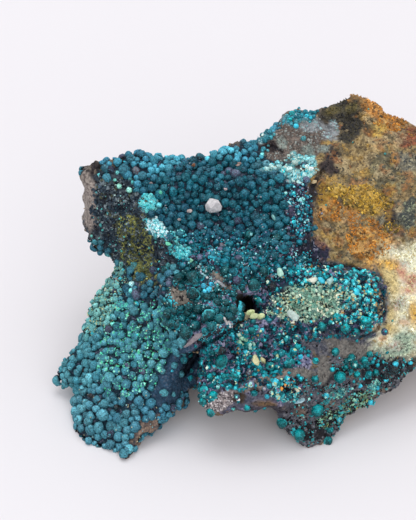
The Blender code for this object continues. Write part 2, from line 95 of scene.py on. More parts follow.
ROCK = {
    "peak_dark": ([(340, 112, 23, 12, -20), (352, 124, 17, 8, 30), (346, 138, 8, 6, 0)], (56, 54, 50),
        (72, 68, 54), (40, 40, 42), 0.8, 0.1),
    "peak_olive": ([(333, 111, 9, 5, -20), (352, 108, 6, 5, 0)], (108, 98, 62), (88, 82, 56), (66, 64, 52),
        0.8, 0.1),
    "peak_rim": ([(378, 103, 16, 12, 35)], (204, 152, 86), (184, 132, 72), (120, 92, 64), 0.8, 0.12),
    "knob": ([(294, 139, 36, 26, -15)], (116, 104, 96), (92, 86, 82), (146, 152, 148), 0.8, 0.25),
    "knob_grey": ([(282, 143, 7, 6, 0), (308, 150, 7, 5, 0), (322, 148, 6, 4, 0)], (142, 152, 144),
        (120, 132, 128), (100, 96, 90), 0.6, 0.2),
    "knob_blue": ([(331, 131, 8, 10, -10), (312, 126, 14, 6, 0)], (152, 156, 158), (130, 134, 138),
        (160, 196, 198), 0.6, 0.2),
    "knob_teal": ([(300, 117, 17, 6, -15), (266, 136, 5, 9, 50)], (60, 140, 150), (110, 160, 176),
        (150, 186, 196), 0.8, 0.3),
    # Cracks round the knob, darkened with painted shade
    "knob_crack": ([(270, 147, 9, 6, -20), (327, 167, 10, 7, 0)], (50, 44, 44), (66, 56, 54), (30, 28, 32),
        0.8, 0.25),
    "right_dark": ([(408, 214, 9, 15, 20)], (96, 98, 86), (66, 72, 70), (140, 146, 120), 1.0, 0.3),
    # Dark rock under the front beads, partly painted shade in the gaps between them
    "front_bed": ([(250, 247, 72, 26, 8)], (44, 44, 66), (20, 34, 50), (120, 122, 140), 0.8, 0.2),
    "basin_right": ([(300, 206, 13, 36, -4)], (70, 66, 90), (40, 48, 66), (146, 146, 158), 0.9, 0.25),
    "ledge_bed": ([(248, 352, 66, 66, 0)], (150, 148, 176), (94, 98, 128), (28, 28, 40), 0.7, 0.5),
    "arm_front": ([(114, 215, 32, 52, -15), (160, 254, 18, 18, 0)], (30, 38, 50), (64, 76, 84), (18, 20, 28),
        1.0, 0.65),
    "arm_corner": ([(90, 168, 13, 9, -10)], (52, 46, 46), (34, 32, 36), (100, 92, 84), 1.0, 0.4),
    "olive": ([(138, 250, 15, 34, -20), (128, 226, 10, 15, -10), (148, 232, 9, 9, 0)], (140, 140, 78),
        (100, 108, 70), (50, 58, 56), 1.0, 0.6),
    "arm_end": ([(88, 200, 8, 29, -4)], (158, 148, 140), (132, 122, 116), (100, 90, 86), 0.4, 0.05),
    "powder": ([(300, 168, 18, 13, 0), (268, 169, 9, 4, -5)], (140, 206, 206), (100, 186, 196),
        (206, 226, 220), 1.0, 0.4),
    "arm_powder": ([(149, 202, 9, 8, 0), (158, 227, 13, 8, 35), (178, 236, 8, 4, 10), (180, 252, 10, 6, 25)],
        (96, 206, 214), (70, 184, 198), (190, 240, 244), 0.8, 0.3),
    "powder_holes": ([(298, 167, 4, 3, 0), (289, 163, 5, 2, -10), (152, 216, 3, 5, 0)], (96, 78, 70),
        (60, 56, 60), (40, 40, 48), 0.6, 0.3),
    # The recess on the leg's right side, dark with painted shade
    "recess": ([(177, 377, 20, 37, 32)], (46, 76, 100), (34, 60, 82), (68, 84, 104), 0.4, 0.15),
    "leg_brown": ([(147, 432, 14, 18, 30)], (136, 116, 102), (112, 96, 88), (84, 74, 70), 0.4, 0.08),
    "shelf_bare": ([(182, 297, 12, 9, 35), (216, 275, 10, 3, 38)], (146, 136, 126), (112, 106, 98),
        (30, 28, 30), 1.0, 0.3),
    "lobe_cream": ([(312, 302, 42, 18, -6)], (150, 176, 158), (98, 134, 126), (50, 56, 50), 1.0, 0.5),
    "foot": ([(345, 392, 70, 40, -30), (342, 346, 42, 15, 5), (300, 430, 26, 22, 0)], (106, 106, 114),
        (72, 74, 84), (24, 24, 28), 0.9, 0.32),
    "foot_brown": ([(372, 352, 8, 5, 0), (354, 374, 7, 5, 0), (380, 394, 11, 5, -32), (328, 404, 9, 6, 0),
        (300, 410, 6, 8, 0)], (122, 108, 98), (92, 84, 80), (36, 32, 34), 0.9, 0.3),
    "foot_mint": ([(338, 393, 8, 4, -20), (374, 386, 6, 4, -50)], (120, 176, 168), (84, 140, 142),
        (40, 60, 64), 0.9, 0.3),
    "foot_patch": ([(346, 349, 22, 10, 20), (325, 372, 8, 16, 0), (298, 373, 18, 6, 5)], (124, 120, 114),
        (104, 102, 98), (80, 76, 74), 0.6, 0.08),
    "foot_olive": ([(353, 404, 17, 7, -32), (331, 418, 12, 6, -28)], (116, 126, 94), (50, 64, 60),
        (24, 26, 30), 1.0, 0.35),
    # Black matrix and cavities of the foot, darkened partly with painted shade
    "foot_black": ([(384, 372, 8, 6, -20), (408, 368, 7, 6, 0), (368, 380, 6, 8, 20), (312, 432, 18, 8, 0),
        (336, 424, 8, 6, 0)], (26, 24, 28), (34, 34, 40), (70, 76, 84), 0.8, 0.4),
    "foot_end": ([(392, 368, 26, 14, -20)], (40, 44, 52), (28, 32, 38), (70, 76, 84), 0.9, 0.35),
    "pale": ([(403, 256, 20, 10, 10), (402, 300, 16, 24, 0), (400, 336, 28, 22, 0), (420, 296, 30, 52, 0)],
        (240, 238, 212), (226, 226, 198), (206, 192, 146), 0.35, 0.18),
    "pale_red": ([(401, 271, 5, 13, -35), (411, 279, 8, 6, 0), (408, 290, 7, 4, 0)], (184, 132, 112),
        (204, 160, 130), (206, 190, 150), 0.5, 0.15),
    "pale_tan": ([(391, 280, 6, 22, -14), (392, 314, 5, 12, 10), (389, 328, 8, 7, 0)], (216, 196, 138),
        (200, 182, 130), (160, 146, 108), 0.6, 0.2),
    "pale_green": ([(397, 349, 20, 8, -8), (404, 338, 12, 6, -20)], (174, 192, 168), (150, 170, 150),
        (90, 104, 96), 0.9, 0.2),
    "pale_cloud": ([(399, 303, 8, 5, -40), (409, 320, 8, 4, -30), (394, 346, 7, 4, 0), (405, 264, 6, 3, 20)],
        (180, 190, 174), (192, 168, 156), (150, 140, 112), 0.7, 0.18),
    "pale_mottle": ([(383, 338, 5, 4, 0), (404, 322, 5, 3, 0)], (214, 186, 150), (196, 170, 140),
        (170, 140, 100), 0.5, 0.2),
    "pale_yellow": ([(414, 313, 5, 12, 0), (390, 264, 8, 5, 0)], (228, 184, 92), (210, 174, 108),
        (150, 120, 76), 0.8, 0.25),
    # A painted shadow line along the lobe's rim
    "lobe_edge": ([(350, 269, 26, 4, 10), (383, 288, 3, 18, -20), (385, 314, 2, 15, 10),
        (364, 336, 18, 3, -8)], (62, 66, 82), (52, 84, 96), (120, 116, 128), 0.8, 0.25),
    "lip_under": ([(250, 401, 34, 8, -12), (205, 404, 6, 8, 0)], (98, 98, 112), (74, 76, 92), (44, 44, 56),
        0.5, 0.15),
    "lip_ridge": ([(264, 382, 30, 5, -22)], (142, 130, 122), (118, 108, 100), (70, 62, 58), 0.5, 0.15),
    "lip": ([(223, 400, 21, 9, -25)], (164, 154, 154), (130, 122, 124), (60, 54, 58), 0.8, 0.25),
    # The lip's hole, dark brown with painted shade
    "lip_hole": ([(239, 398, 8, 6, -8), (255, 390, 4, 3, 0)], (70, 56, 44), (50, 40, 34), (26, 22, 20), 0.5,
        0.1),
    "lip_tan": ([(267, 404, 12, 4, 5)], (116, 92, 66), (96, 76, 56), (70, 56, 44), 0.6, 0.15),
    "lip_edge": ([(258, 411, 34, 4, -4)], (70, 66, 76), (52, 50, 60), (34, 32, 38), 0.5, 0.1),
    # The lip's pits, darkened with painted shade
    "lip_pit": ([(233, 384, 8, 4, -15), (290, 384, 14, 5, -15)], (30, 26, 28), (22, 20, 24), (90, 84, 90),
        0.6, 0.2),
    # The face under the shelf, dark grey-brown with painted shade
    "riser": ([(215, 335, 24, 7, -24)], (52, 46, 52), (38, 34, 42), (28, 26, 32), 0.4, 0.15),
    # The pit, dark brown deepened with painted shade
    "pit": ([(244, 303, 8, 15, -30), (250, 311, 6, 8, -20)], (20, 16, 14), (14, 12, 12), (34, 26, 20), 0.3,
        0.1),
}
# Over how many pixels the edge of a colour fades, and the colours that fade over more
HARD = 1.5
SOFT = {"pale": 5.0, "pale_cloud": 4.0, "pale_red": 4.0, "pale_tan": 5.0, "pale_green": 4.0,
        "pale_yellow": 3.0,
        "peak_rim": 5.0}
# The rock that the photo doesn't show, and the rust on it
HIDDEN = ((112, 100, 84), (86, 78, 70), (150, 120, 74), 0.9, 0.45)
STAIN = ((158, 118, 68), (132, 104, 66))
# Veins and clouds in the iron-stained end: size, noise shift, where the noise starts and ends, two colours
CLOUDS = (
    (3.2, 11.0, 0.10, 0.32, (70, 66, 54), (56, 52, 48)),
    (3.0, 17.0, 0.15, 0.40, (186, 146, 60), (158, 124, 56)),
    (3.4, 23.0, 0.18, 0.42, (196, 178, 140), (172, 154, 118)),
    (2.4, 29.0, 0.20, 0.40, (158, 98, 50), (134, 88, 54)),
    (1.3, 41.0, 0.24, 0.40, (50, 48, 46), (70, 66, 52)),
)

# Grooves that part one growth from the next, as pixels along them, half width in pixels and depth in
# millimetres
GROOVES = {
    "cleft": (((246, 316), (233, 329), (218, 339), (204, 345), (194, 356), (184, 372)), 5.4, 2.6),
    "lobe_rim": (((324, 266), (350, 266), (371, 275), (383, 292), (385, 312), (377, 330), (360, 337)), 1.8,
        0.9),
    "basin_rim": (((322, 172), (312, 186), (310, 214), (306, 240), (300, 262)), 3.5, 0.9),
    "knob_foot": (((258, 148), (272, 146), (282, 152)), 3.5, 0.9),
    "lip_top": (((206, 404), (222, 388), (248, 378), (272, 370), (300, 362)), 2.4, 0.7),
    "foot_top": (((300, 380), (322, 390), (336, 372), (368, 366)), 3.0, 0.6),
}
# Painted shade that darkens the grooves
GROOVE_SHADE_COLOURS = ((40, 38, 46), (28, 28, 36), (50, 50, 60))
# Places where the stone stands out more (or less), as a pixel, its reach in pixels and the height in
# millimetres
SWELLS = {
    "saddle": ((319, 115), 13, 2.6),
    "right_top": ((412, 114), 21, -4.2),
    "peak_side": ((384, 103), 9, -1.6),
    "peak_top": ((366, 101), 9, 1.0),
    "crest_top": ((277, 122), 14, -1.3),
    "crest_side": ((252, 141), 9, -0.8),
    "foot_edge": ((356, 421), 16, -1.0),
    "foot_side": ((376, 408), 15, -0.8),
    "leg_side": ((146, 444), 12, -1.8),
    "recess_foot": ((191, 401), 10, -1.0),
    "lobe_top": ((352, 298), 22, 0.9),
    "ledge_front": ((235, 362), 20, 0.6),
}
# Places where the whole edge moves on the photo, as a pixel, its reach and the move right and down in
# pixels
TUCKS = {
    "foot_low": ((358, 424), 26, (-5, -13)),
    "foot_mid": ((372, 412), 16, (-2, -4)),
    "foot_high": ((392, 384), 14, (2, 3)),
    "right_top": ((414, 112), 22, (0, 12)),
    "peak_side": ((381, 101), 8, (0, 6)),
    "crest_step": ((270, 118), 16, (0, 9)),
    "crest_low": ((246, 135), 12, (0, 5)),
    "recess_foot": ((194, 402), 15, (0, -18)),
    "foot_left": ((269, 418), 11, (9, -5)),
    "ledge_low": ((234, 416), 14, (0, -6)),
    "leg_side": ((148, 440), 9, (-2, -6)),
}

# Where the beads grow. The same ovals, then how many grow on a square millimetre, their least and
# greatest radius in millimetres, two colours of their tips, the colour round their feet (painted shade
# on dusty beads, a painted bright rim, partly cyan coat, on waxy ones), how rough they are, and the share
# of odd ones.
FULL = 50.0
CRUST = {
    "arm_top": ([(132, 172, 54, 22, 6)], FULL, 0.74, 1.16, (50, 120, 140), (36, 98, 122), (12, 36, 50), 0.6,
        0.03),
    "crest": ([(215, 168, 66, 20, -4)], FULL, 0.7, 1.06, (78, 170, 192), (62, 146, 168), (18, 54, 72), 0.6,
        0.03),
    "crest_right": ([(262, 152, 34, 20, -38)], FULL, 0.66, 1.02, (50, 124, 144), (40, 104, 126), (14, 44, 60),
        0.6, 0.04),
    "basin": ([(224, 212, 88, 52, 4)], FULL, 0.7, 1.08, (4, 83, 98), (2, 60, 80), (2, 18, 30), 0.48, 0.03),
    "basin_front": ([(240, 263, 78, 21, 8)], 7.0, 0.5, 1.06, (2, 52, 62), (8, 80, 94), (50, 164, 184), 0.26,
        0.1),
    "basin_right": ([(297, 206, 14, 34, -4)], 2.6, 0.3, 0.66, (8, 82, 98), (24, 110, 126), (30, 64, 84), 0.4,
        0.2),
    "leg": ([(127, 348, 64, 108, 18)], FULL, 0.7, 1.16, (77, 140, 151), (50, 113, 128), (14, 40, 52), 0.65,
        0.04),
    "leg_edge": ([(106, 296, 14, 44, 24)], FULL, 0.52, 0.88, (112, 170, 162), (86, 150, 152), (30, 60, 64),
        0.65, 0.08),
    # Darker, sparser beads at the head of the leg: painted shade under the arm's overhang
    "leg_head": ([(150, 283, 32, 22, 10)], 3.0, 0.5, 1.05, (44, 100, 118), (30, 78, 98), (16, 38, 52), 0.5,
        0.15),
    "leg_low": ([(116, 428, 50, 46, 0)], FULL, 0.78, 1.26, (77, 137, 150), (54, 108, 128), (16, 44, 58), 0.65,
        0.02),
    "shelf": ([(208, 306, 44, 38, 20)], 6.0, 0.5, 1.2, (2, 52, 58), (6, 68, 74), (60, 180, 194), 0.14, 0.05),
    "ledge": ([(248, 366, 62, 48, -5)], 1.1, 0.3, 0.8, (2, 92, 98), (8, 128, 142), (60, 190, 204), 0.22,
        0.14),
    "lobe": ([(330, 300, 62, 36, 5)], 1.6, 0.28, 0.74, (6, 116, 120), (26, 160, 170), (90, 210, 218), 0.28,
        0.14),
    "lobe_right": ([(364, 299, 26, 29, 0)], 6.5, 0.34, 0.84, (30, 158, 170), (74, 192, 204), (150, 228, 232),
        0.3, 0.08),
    "strip": ([(172, 416, 32, 13, -38)], FULL, 0.6, 0.98, (64, 126, 146), (44, 98, 122), (16, 42, 58), 0.55,
        0.06),
    "lobe_cream": ([(312, 302, 40, 16, -4)], 0.12, 0.2, 0.42, (40, 150, 150), (120, 190, 170),
        (150, 190, 160), 0.45, 0.2),
    "foot": ([(350, 385, 80, 46, -30)], 0.07, 0.3, 0.7, (2, 116, 120), (30, 176, 192), (60, 170, 178), 0.24,
        0.2),
    "foot_cluster": ([(357, 363, 15, 13, 0), (284, 418, 6, 12, 0)], 0.5, 0.4, 0.95, (2, 96, 98), (6, 86, 94),
        (50, 160, 168), 0.24, 0.08),
    "gossan": ([(372, 190, 60, 78, 0), (424, 250, 50, 120, 0), (395, 130, 50, 40, 20),
        (520, 230, 130, 180, 0)], 0.01, 0.2, 0.4, (70, 160, 156), (60, 120, 116), (80, 120, 106), 0.5, 0.2),
    "knob": ([(288, 138, 32, 26, -20)], 0.05, 0.3, 0.6, (90, 170, 176), (70, 140, 152), (90, 130, 130), 0.5,
        0.2),
    "powder": ([(299, 168, 18, 13, 0), (268, 169, 9, 4, -5)], 9.0, 0.34, 0.8, (200, 222, 212),
        (130, 196, 202), (100, 198, 210), 0.7, 0.08),
    "arm_powder": ([(149, 202, 9, 8, 0), (158, 227, 12, 8, 35), (180, 252, 10, 6, 25)], 12.0, 0.26, 0.52,
        (124, 224, 230), (92, 206, 218), (80, 196, 210), 0.4, 0.02),
    "knob_teal": ([(300, 117, 18, 7, -15), (266, 136, 5, 9, 50), (262, 156, 5, 8, 20)], 5.0, 0.36, 0.8,
        (20, 106, 120), (60, 146, 164), (40, 100, 120), 0.6, 0.12),
    "arm_front": ([(114, 217, 32, 50, -15), (160, 254, 17, 17, 0)], 0.1, 0.2, 0.42, (120, 210, 196),
        (70, 160, 160), (50, 100, 100), 0.5, 0.2),
    "olive": ([(138, 250, 15, 32, -20)], 0.05, 0.2, 0.36, (110, 190, 180), (70, 150, 140), (60, 90, 80), 0.5,
        0.2),
    # Darker beads under the arm: painted shade under its overhang
    "arm_under": ([(101, 247, 14, 6, 28)], FULL, 0.6, 1.0, (50, 104, 122), (36, 84, 104), (14, 38, 52), 0.6,
        0.04),
}
FRONT_ONLY = ("powder", "arm_powder", "lobe_cream", "knob", "knob_teal")
# The tips of the hidden beads, and the painted shade round their feet
BACK_BEADS = ((40, 96, 110), (28, 76, 92), (16, 44, 56))
# Where few beads grow, and how many on a square millimetre
BARE = {
    "arm_end": ([(86, 200, 10, 31, -4)], 0.0),
    "recess": ([(176, 376, 17, 34, 32)], 0.15),
    "arm_corner": ([(89, 168, 11, 10, 0)], 0.0),
    "leg_brown": ([(147, 434, 12, 17, 30)], 0.0),
    "shelf_bare": ([(182, 297, 11, 7, 35), (216, 275, 9, 2.4, 38)], 0.02),
    "blade": ([(195, 337, 15, 4, -47)], 0.0),
    "lip": ([(226, 398, 20, 8, -18), (262, 382, 29, 6, -22), (250, 401, 30, 7, -10)], 0.04),
    "ledge_bare": ([(290, 373, 20, 5, 0)], 0.05),
    "foot_patch": ([(346, 349, 20, 9, 20), (325, 372, 7, 14, 0)], 0.04),
    "riser": ([(215, 335, 22, 6, -24)], 0.05),
    "pit": ([(244, 303, 8, 15, -30), (250, 311, 6, 8, -20)], 0.0),
    "powder_holes": ([(298, 167, 4, 3, 0), (289, 163, 5, 2, -10)], 0.0),
    "ledge_under": ([(258, 411, 32, 7, -4)], 0.03),
}
NO_GRAINS = ("shelf_bare", "blade", "foot_patch", "pit", "powder_holes", "recess")
# Colours of the odd beads of the crust, and how often each comes. Large beads have the first two only
ODD = (((74, 76, 98), 3), ((50, 50, 70), 3), ((60, 200, 220), 6), ((120, 226, 214), 3), ((54, 42, 38), 2),
       ((150, 146, 156), 1.5), ((176, 196, 186), 1), ((170, 110, 50), 0.4))

# Small angular grains. The ovals, how many, their least and greatest size in millimetres, the share that
# sits on beads and not between them, and the colours, or none where they are of the rock's own.
TEAL_MIX = ((214, 236, 214), (150, 226, 228), (60, 200, 212), (20, 150, 164), (8, 120, 128), (6, 96, 112),
            (8, 60, 76), (24, 26, 44), (64, 64, 90), (110, 108, 138), (160, 124, 76), (196, 216, 170))
GRAINS = {
    "leg_mint": ([(136, 350, 34, 50, 25)], 800, 0.14, 0.3, 0.85, ((110, 226, 188), (80, 206, 160),
        (150, 234, 212))),
    "leg_dust": ([(108, 300, 14, 40, 25)], 1100, 0.12, 0.26, 0.6, ((196, 200, 152), (34, 46, 50),
        (150, 184, 150), (120, 190, 180), (26, 36, 42))),
    "leg_specks": ([(122, 360, 62, 100, 18)], 900, 0.1, 0.2, 0.3, ((190, 180, 144), (150, 200, 204),
        (90, 84, 100))),
    "leg_patch": ([(122, 307, 7, 6, 20)], 160, 0.15, 0.35, 0.5, ((120, 226, 206), (90, 206, 190))),
    "basin_specks": ([(225, 212, 88, 52, 4)], 700, 0.1, 0.2, 0.2, ((110, 180, 190), (70, 140, 156),
        (170, 170, 180))),
    "front_specks": ([(240, 256, 80, 27, 8), (298, 205, 12, 34, 0)], 3400, 0.1, 0.3, 0.45, ((140, 142, 170),
        (160, 236, 240), (30, 180, 200), (8, 14, 34), (8, 104, 126), (30, 34, 66))),
    "shelf_specks": ([(208, 306, 44, 38, 20)], 2400, 0.1, 0.22, 0.1, ((170, 166, 170), (160, 232, 234),
        (60, 190, 206), (20, 90, 110), (14, 20, 30), (90, 84, 100))),
    "ledge_mix": ([(246, 356, 54, 32, -12), (288, 388, 14, 12, 0), (208, 392, 8, 14, 0)], 3200, 0.12, 0.44,
        0.15, TEAL_MIX),
    "lobe_mix": ([(361, 299, 24, 28, 0), (318, 328, 46, 12, 3), (312, 278, 40, 12, 3), (268, 300, 14, 20, 0)],
        3600, 0.12, 0.42, 0.25, TEAL_MIX),
    "lobe_cream": ([(312, 302, 44, 19, -6)], 3400, 0.13, 0.4, 0.1, ((30, 34, 36), (60, 176, 182),
        (206, 206, 160), (34, 40, 42), (196, 220, 196), (116, 156, 140), (140, 192, 174), (236, 236, 212),
        (60, 80, 66), (190, 150, 96))),
    "foot_mix": ([(342, 396, 60, 36, -30), (392, 370, 24, 12, -20), (306, 430, 22, 18, 0)], 1700, 0.12, 0.38,
        0.02, ((160, 220, 210), (60, 180, 190), (26, 26, 32), (104, 106, 112), (60, 150, 156),
        (120, 114, 106))),
    "foot_olive": ([(355, 403, 22, 8, -32), (328, 420, 14, 7, -28)], 700, 0.14, 0.38, 0.1, ((214, 212, 150),
        (50, 160, 160), (24, 28, 32), (150, 204, 176), (20, 24, 28), (104, 130, 100), (60, 150, 150),
        (186, 190, 124), (190, 140, 70))),
    "foot_mint": ([(338, 393, 9, 5, -20), (374, 386, 8, 5, -50), (352, 398, 8, 4, -20)], 450, 0.12, 0.34, 0.0,
        ((200, 226, 190), (90, 190, 190), (150, 220, 205), (60, 140, 146), (24, 30, 36))),
    "cluster": ([(285, 391, 15, 10, -15)], 550, 0.14, 0.42, 0.2, ((214, 140, 60), (206, 206, 160),
        (150, 220, 210), (60, 180, 190), (20, 110, 120), (26, 34, 44), (14, 16, 20), (120, 110, 130))),
    "vein": ([(206, 274, 8, 2.5, 35), (219, 283, 11, 2.5, 35), (228, 320, 8, 2, 62)], 240, 0.14, 0.36, 0.3,
        ((170, 166, 170), (206, 204, 204), (150, 200, 206), (110, 102, 110))),
    "powder": ([(299, 168, 18, 13, 0), (268, 169, 9, 4, -5)], 500, 0.14, 0.34, 0.5, ((90, 200, 214),
        (150, 206, 206), (190, 216, 206), (130, 204, 210), (212, 226, 214))),
    "arm_powder": ([(149, 203, 10, 9, 0), (178, 236, 8, 4, 10), (180, 252, 11, 7, 25)], 900, 0.12, 0.28, 0.5,
        ((70, 190, 190), (84, 204, 216), (104, 216, 224), (130, 226, 220), (150, 230, 232))),
    "bright_powder": ([(158, 227, 12, 8, 35)], 900, 0.12, 0.3, 0.4, ((130, 222, 230), (196, 242, 246),
        (218, 246, 250), (240, 250, 250), (160, 230, 238))),
    "arm_front": ([(120, 217, 27, 50, -15), (160, 254, 17, 17, 0)], 2600, 0.12, 0.4, 0.0, ((14, 16, 24),
        (24, 30, 42), (34, 50, 64), (50, 66, 78), (110, 124, 130), (76, 80, 62), (26, 30, 40))),
    "arm_mint": ([(114, 215, 19, 44, -15)], 100, 0.16, 0.3, 0.0, ((150, 214, 206), (90, 180, 184),
        (196, 230, 224))),
    "olive": ([(138, 252, 16, 34, -20), (126, 230, 10, 15, 0)], 3000, 0.1, 0.28, 0.0, ((206, 200, 122),
        (176, 174, 100), (134, 140, 80), (98, 106, 72), (40, 48, 54), (70, 78, 64))),
    "gossan": ([(365, 190, 62, 80, 0), (420, 250, 50, 120, 0), (395, 130, 50, 40, 20),
        (520, 230, 130, 180, 0)], 3600, 0.12, 0.34, 0.0, ()),
    "gossan_orange": ([(368, 240, 22, 21, 0), (342, 212, 24, 11, 0), (390, 112, 17, 20, -35)], 900, 0.12,
        0.34, 0.0, ((216, 152, 66), (196, 130, 54), (160, 112, 58), (90, 74, 54))),
    "gossan_yellow": ([(366, 200, 24, 14, 15), (338, 191, 12, 8, 0), (391, 227, 8, 6, 0)], 600, 0.14, 0.36,
        0.0, ((216, 182, 84), (196, 160, 68), (150, 124, 60), (96, 86, 50))),
    "pale": ([(403, 256, 22, 12, 10), (400, 300, 14, 24, 0), (400, 336, 28, 22, 0), (420, 296, 30, 52, 0)],
        900, 0.12, 0.3, 0.0, ()),
    "knob": ([(290, 139, 34, 27, -20)], 900, 0.14, 0.34, 0.0, ()),
    "peak": ([(350, 112, 30, 18, -10)], 600, 0.14, 0.4, 0.0, ()),
    "lip": ([(219, 402, 16, 8, -25)], 400, 0.1, 0.24, 0.0, ((96, 86, 88), (166, 154, 152), (214, 208, 208),
        (120, 112, 114), (34, 30, 36))),
}
BACK_GRAINS = ((128, 114, 96), (96, 86, 76), (150, 122, 80), (70, 64, 60), (160, 136, 104))
BACK_GRAIN_COUNT = 1500
GRAIN_TRIES = 240000
GRAIN_SHAPES = 16
MOST_GRAINS = 20000

# Chips and crystals: pixel, length, width and thickness in millimetres, turn on the photo, colour, how
# many lie together
CHIPS = (
    ((214, 203), (3.5, 3.3, 3.0), 30, (208, 206, 208), 1),
    ((293.5, 316), (3.2, 1.6, 1.7), 40, (198, 218, 210), 1),
    ((194.5, 336.5), (6.0, 1.15, 1.5), -47, (122, 114, 120), 1),
    ((222, 285), (2.6, 0.7, 1.9), 36, (178, 180, 184), 1),
    ((227, 321), (2.2, 1.0, 1.9), 62, (182, 180, 180), 2),
    ((255, 318), (3.4, 1.5, 3.4), -8, (206, 218, 164), 3),
    ((246, 320), (1.8, 1.2, 1.8), 0, (206, 196, 160), 1),
    ((255.5, 359.5), (2.8, 1.4, 2.0), 58, (204, 202, 158), 1),
    ((263, 362), (1.6, 1.1, 2.0), 60, (206, 204, 156), 1),
    ((242, 341), (2.0, 1.5, 2.4), 20, (140, 186, 160), 3),
    ((251, 346), (1.8, 1.3, 2.4), 70, (150, 200, 186), 3),
    ((300, 399), (2.3, 1.2, 1.5), -28, (176, 214, 224), 1),
    ((238, 399), (0.9, 0.7, 0.6), 0, (236, 236, 232), 1),
    ((281, 273), (2.1, 1.3, 1.8), 70, (176, 220, 202), 1),
    ((311, 281), (2.5, 1.5, 1.7), -25, (206, 208, 192), 1),
    ((322, 280), (1.9, 1.2, 1.7), 35, (60, 190, 214), 1),
    ((331, 282), (2.0, 1.5, 1.7), 70, (184, 222, 218), 1),
    ((188, 211), (1.4, 0.9, 2.1), 10, (204, 188, 184), 1),
    ((179, 219), (1.0, 0.8, 2.0), -20, (190, 176, 172), 1),
    ((151, 186), (1.0, 0.7, 2.0), 0, (200, 180, 176), 1),
    ((226, 189), (0.9, 0.7, 2.0), 30, (196, 176, 176), 1),
    ((140, 153), (1.8, 1.2, 2.0), 10, (126, 88, 66), 2),
    ((192, 168), (1.2, 0.9, 2.0), -10, (140, 96, 70), 1),
    ((236, 166), (1.6, 1.1, 2.0), 0, (150, 128, 120), 2),
    ((161, 193), (1.0, 0.8, 1.9), 80, (96, 200, 168), 1),
    ((168, 245), (1.4, 0.9, 1.2), 30, (110, 214, 176), 1),
    ((189, 259), (1.6, 1.0, 1.9), 30, (150, 226, 190), 2),
    ((275, 218), (1.4, 0.8, 1.8), 60, (150, 210, 206), 1),
    ((281, 389), (1.0, 0.8, 1.2), 80, (224, 148, 50), 1),
    ((297, 388), (1.5, 1.1, 1.6), 20, (206, 200, 176), 3),
    ((238, 321), (1.5, 0.8, 1.0), 0, (150, 120, 100), 1),
    ((313, 181), (1.4, 0.9, 0.9), 0, (190, 170, 130), 1),
)

# Beads at their own pixels: x, y and radius in pixels. Then each kind's two tip colours, the colour round
# the foot (painted shade on dusty kinds, a painted bright rim on waxy ones) and roughness
HEROES = {
    "deep": ((194, 294, 6.5), (179, 279, 6.2), (194, 279, 6.8), (194, 265, 5.0), (207, 298, 4.6),
        (218, 290, 4.2), (198, 309, 6.0), (210, 315, 6.8), (220, 319, 5.2), (217, 303, 4.4), (226, 303, 4.2),
        (234, 310, 5.2), (188, 313, 4.4), (187, 333, 6.2), (170, 313, 5.6), (254, 286, 7.0), (226, 272, 5.5),
        (264, 272, 6.0), (277, 239, 5.0), (250, 236, 5.0), (166, 270, 5.0), (172, 330, 5.0), (205, 272, 4.6)),
    "teal": ((222, 362, 6.6), (212, 350, 4.2), (205, 390, 5.2), (214, 396, 5.0), (204, 401, 4.4),
        (211, 412, 4.4), (289, 362, 5.6), (270, 366, 4.4), (297, 346, 3.8), (315, 361, 3.2), (225, 377, 3.6),
        (235, 375, 4.2), (210, 377, 3.8), (335, 352, 3.8), (351, 357, 4.2), (354, 364, 4.2), (345, 366, 3.4),
        (364, 360, 3.8), (370, 354, 3.2), (340, 377, 5.6), (357, 374, 3.6), (315, 379, 3.4), (317, 410, 6.8),
        (282, 422, 5.2), (300, 435, 5.8), (327, 440, 4.8), (320, 447, 4.2), (376, 372, 3.2), (260, 300, 4.2),
        (253, 330, 4.6), (292, 114, 3.2), (290, 120, 2.8), (247, 345, 4.6), (336, 318, 4.8), (345, 328, 4.8),
        (322, 327, 4.2), (356, 331, 4.4), (366, 322, 5.0), (247, 408, 3.0), (330, 430, 3.4)),
    "cyan": ((296, 127, 3.0), (311, 118, 2.4), (355, 292, 3.6), (395, 364, 3.2), (410, 362, 3.0),
        (360, 386, 2.6), (326, 395, 3.2), (347, 410, 2.6), (339, 419, 3.0), (345, 427, 3.0), (276, 382, 3.6),
        (287, 384, 3.2), (291, 382, 2.4), (278, 390, 2.8), (267, 396, 2.4), (271, 393, 2.2), (370, 402, 2.8),
        (262, 330, 2.6), (246, 352, 2.6), (300, 356, 2.8), (386, 379, 2.8), (377, 388, 2.6), (232, 335, 2.6),
        (172, 371, 1.6)),
    "pale": ((251, 384, 3.0), (132, 284, 3.0)),
    "mint": ((119, 187, 2.9), (129, 190, 2.9), (318, 448, 2.8)),
    "leg": ((124, 454, 4.4), (129, 449, 4.6), (120, 447, 4.2)),
    "slate": ((124, 170, 6.8), (106, 169, 5.0), (107, 179, 5.4), (143, 176, 4.6), (132, 160, 5.2)),
    "sky": ((204, 286, 2.8), (209, 289, 3.0), (205, 291, 2.6), (211, 284, 2.4), (208, 294, 2.2),
        (212, 252, 2.8)),
    "dusk": ((136, 171, 4.0), (224, 350, 3.0), (222, 246, 3.4), (261, 274, 3.4), (272, 276, 3.0),
        (249, 373, 3.0)),
    # Black beads, some standing as painted shade in holes between the beads
    "black": ((117, 367, 3.4), (92, 396, 3.0), (85, 370, 3.0), (117, 407, 3.2), (141, 325, 3.0),
        (272, 287, 4.0), (393, 370, 5.0), (386, 375, 4.0), (408, 368, 4.4), (221, 350, 3.6)),
}
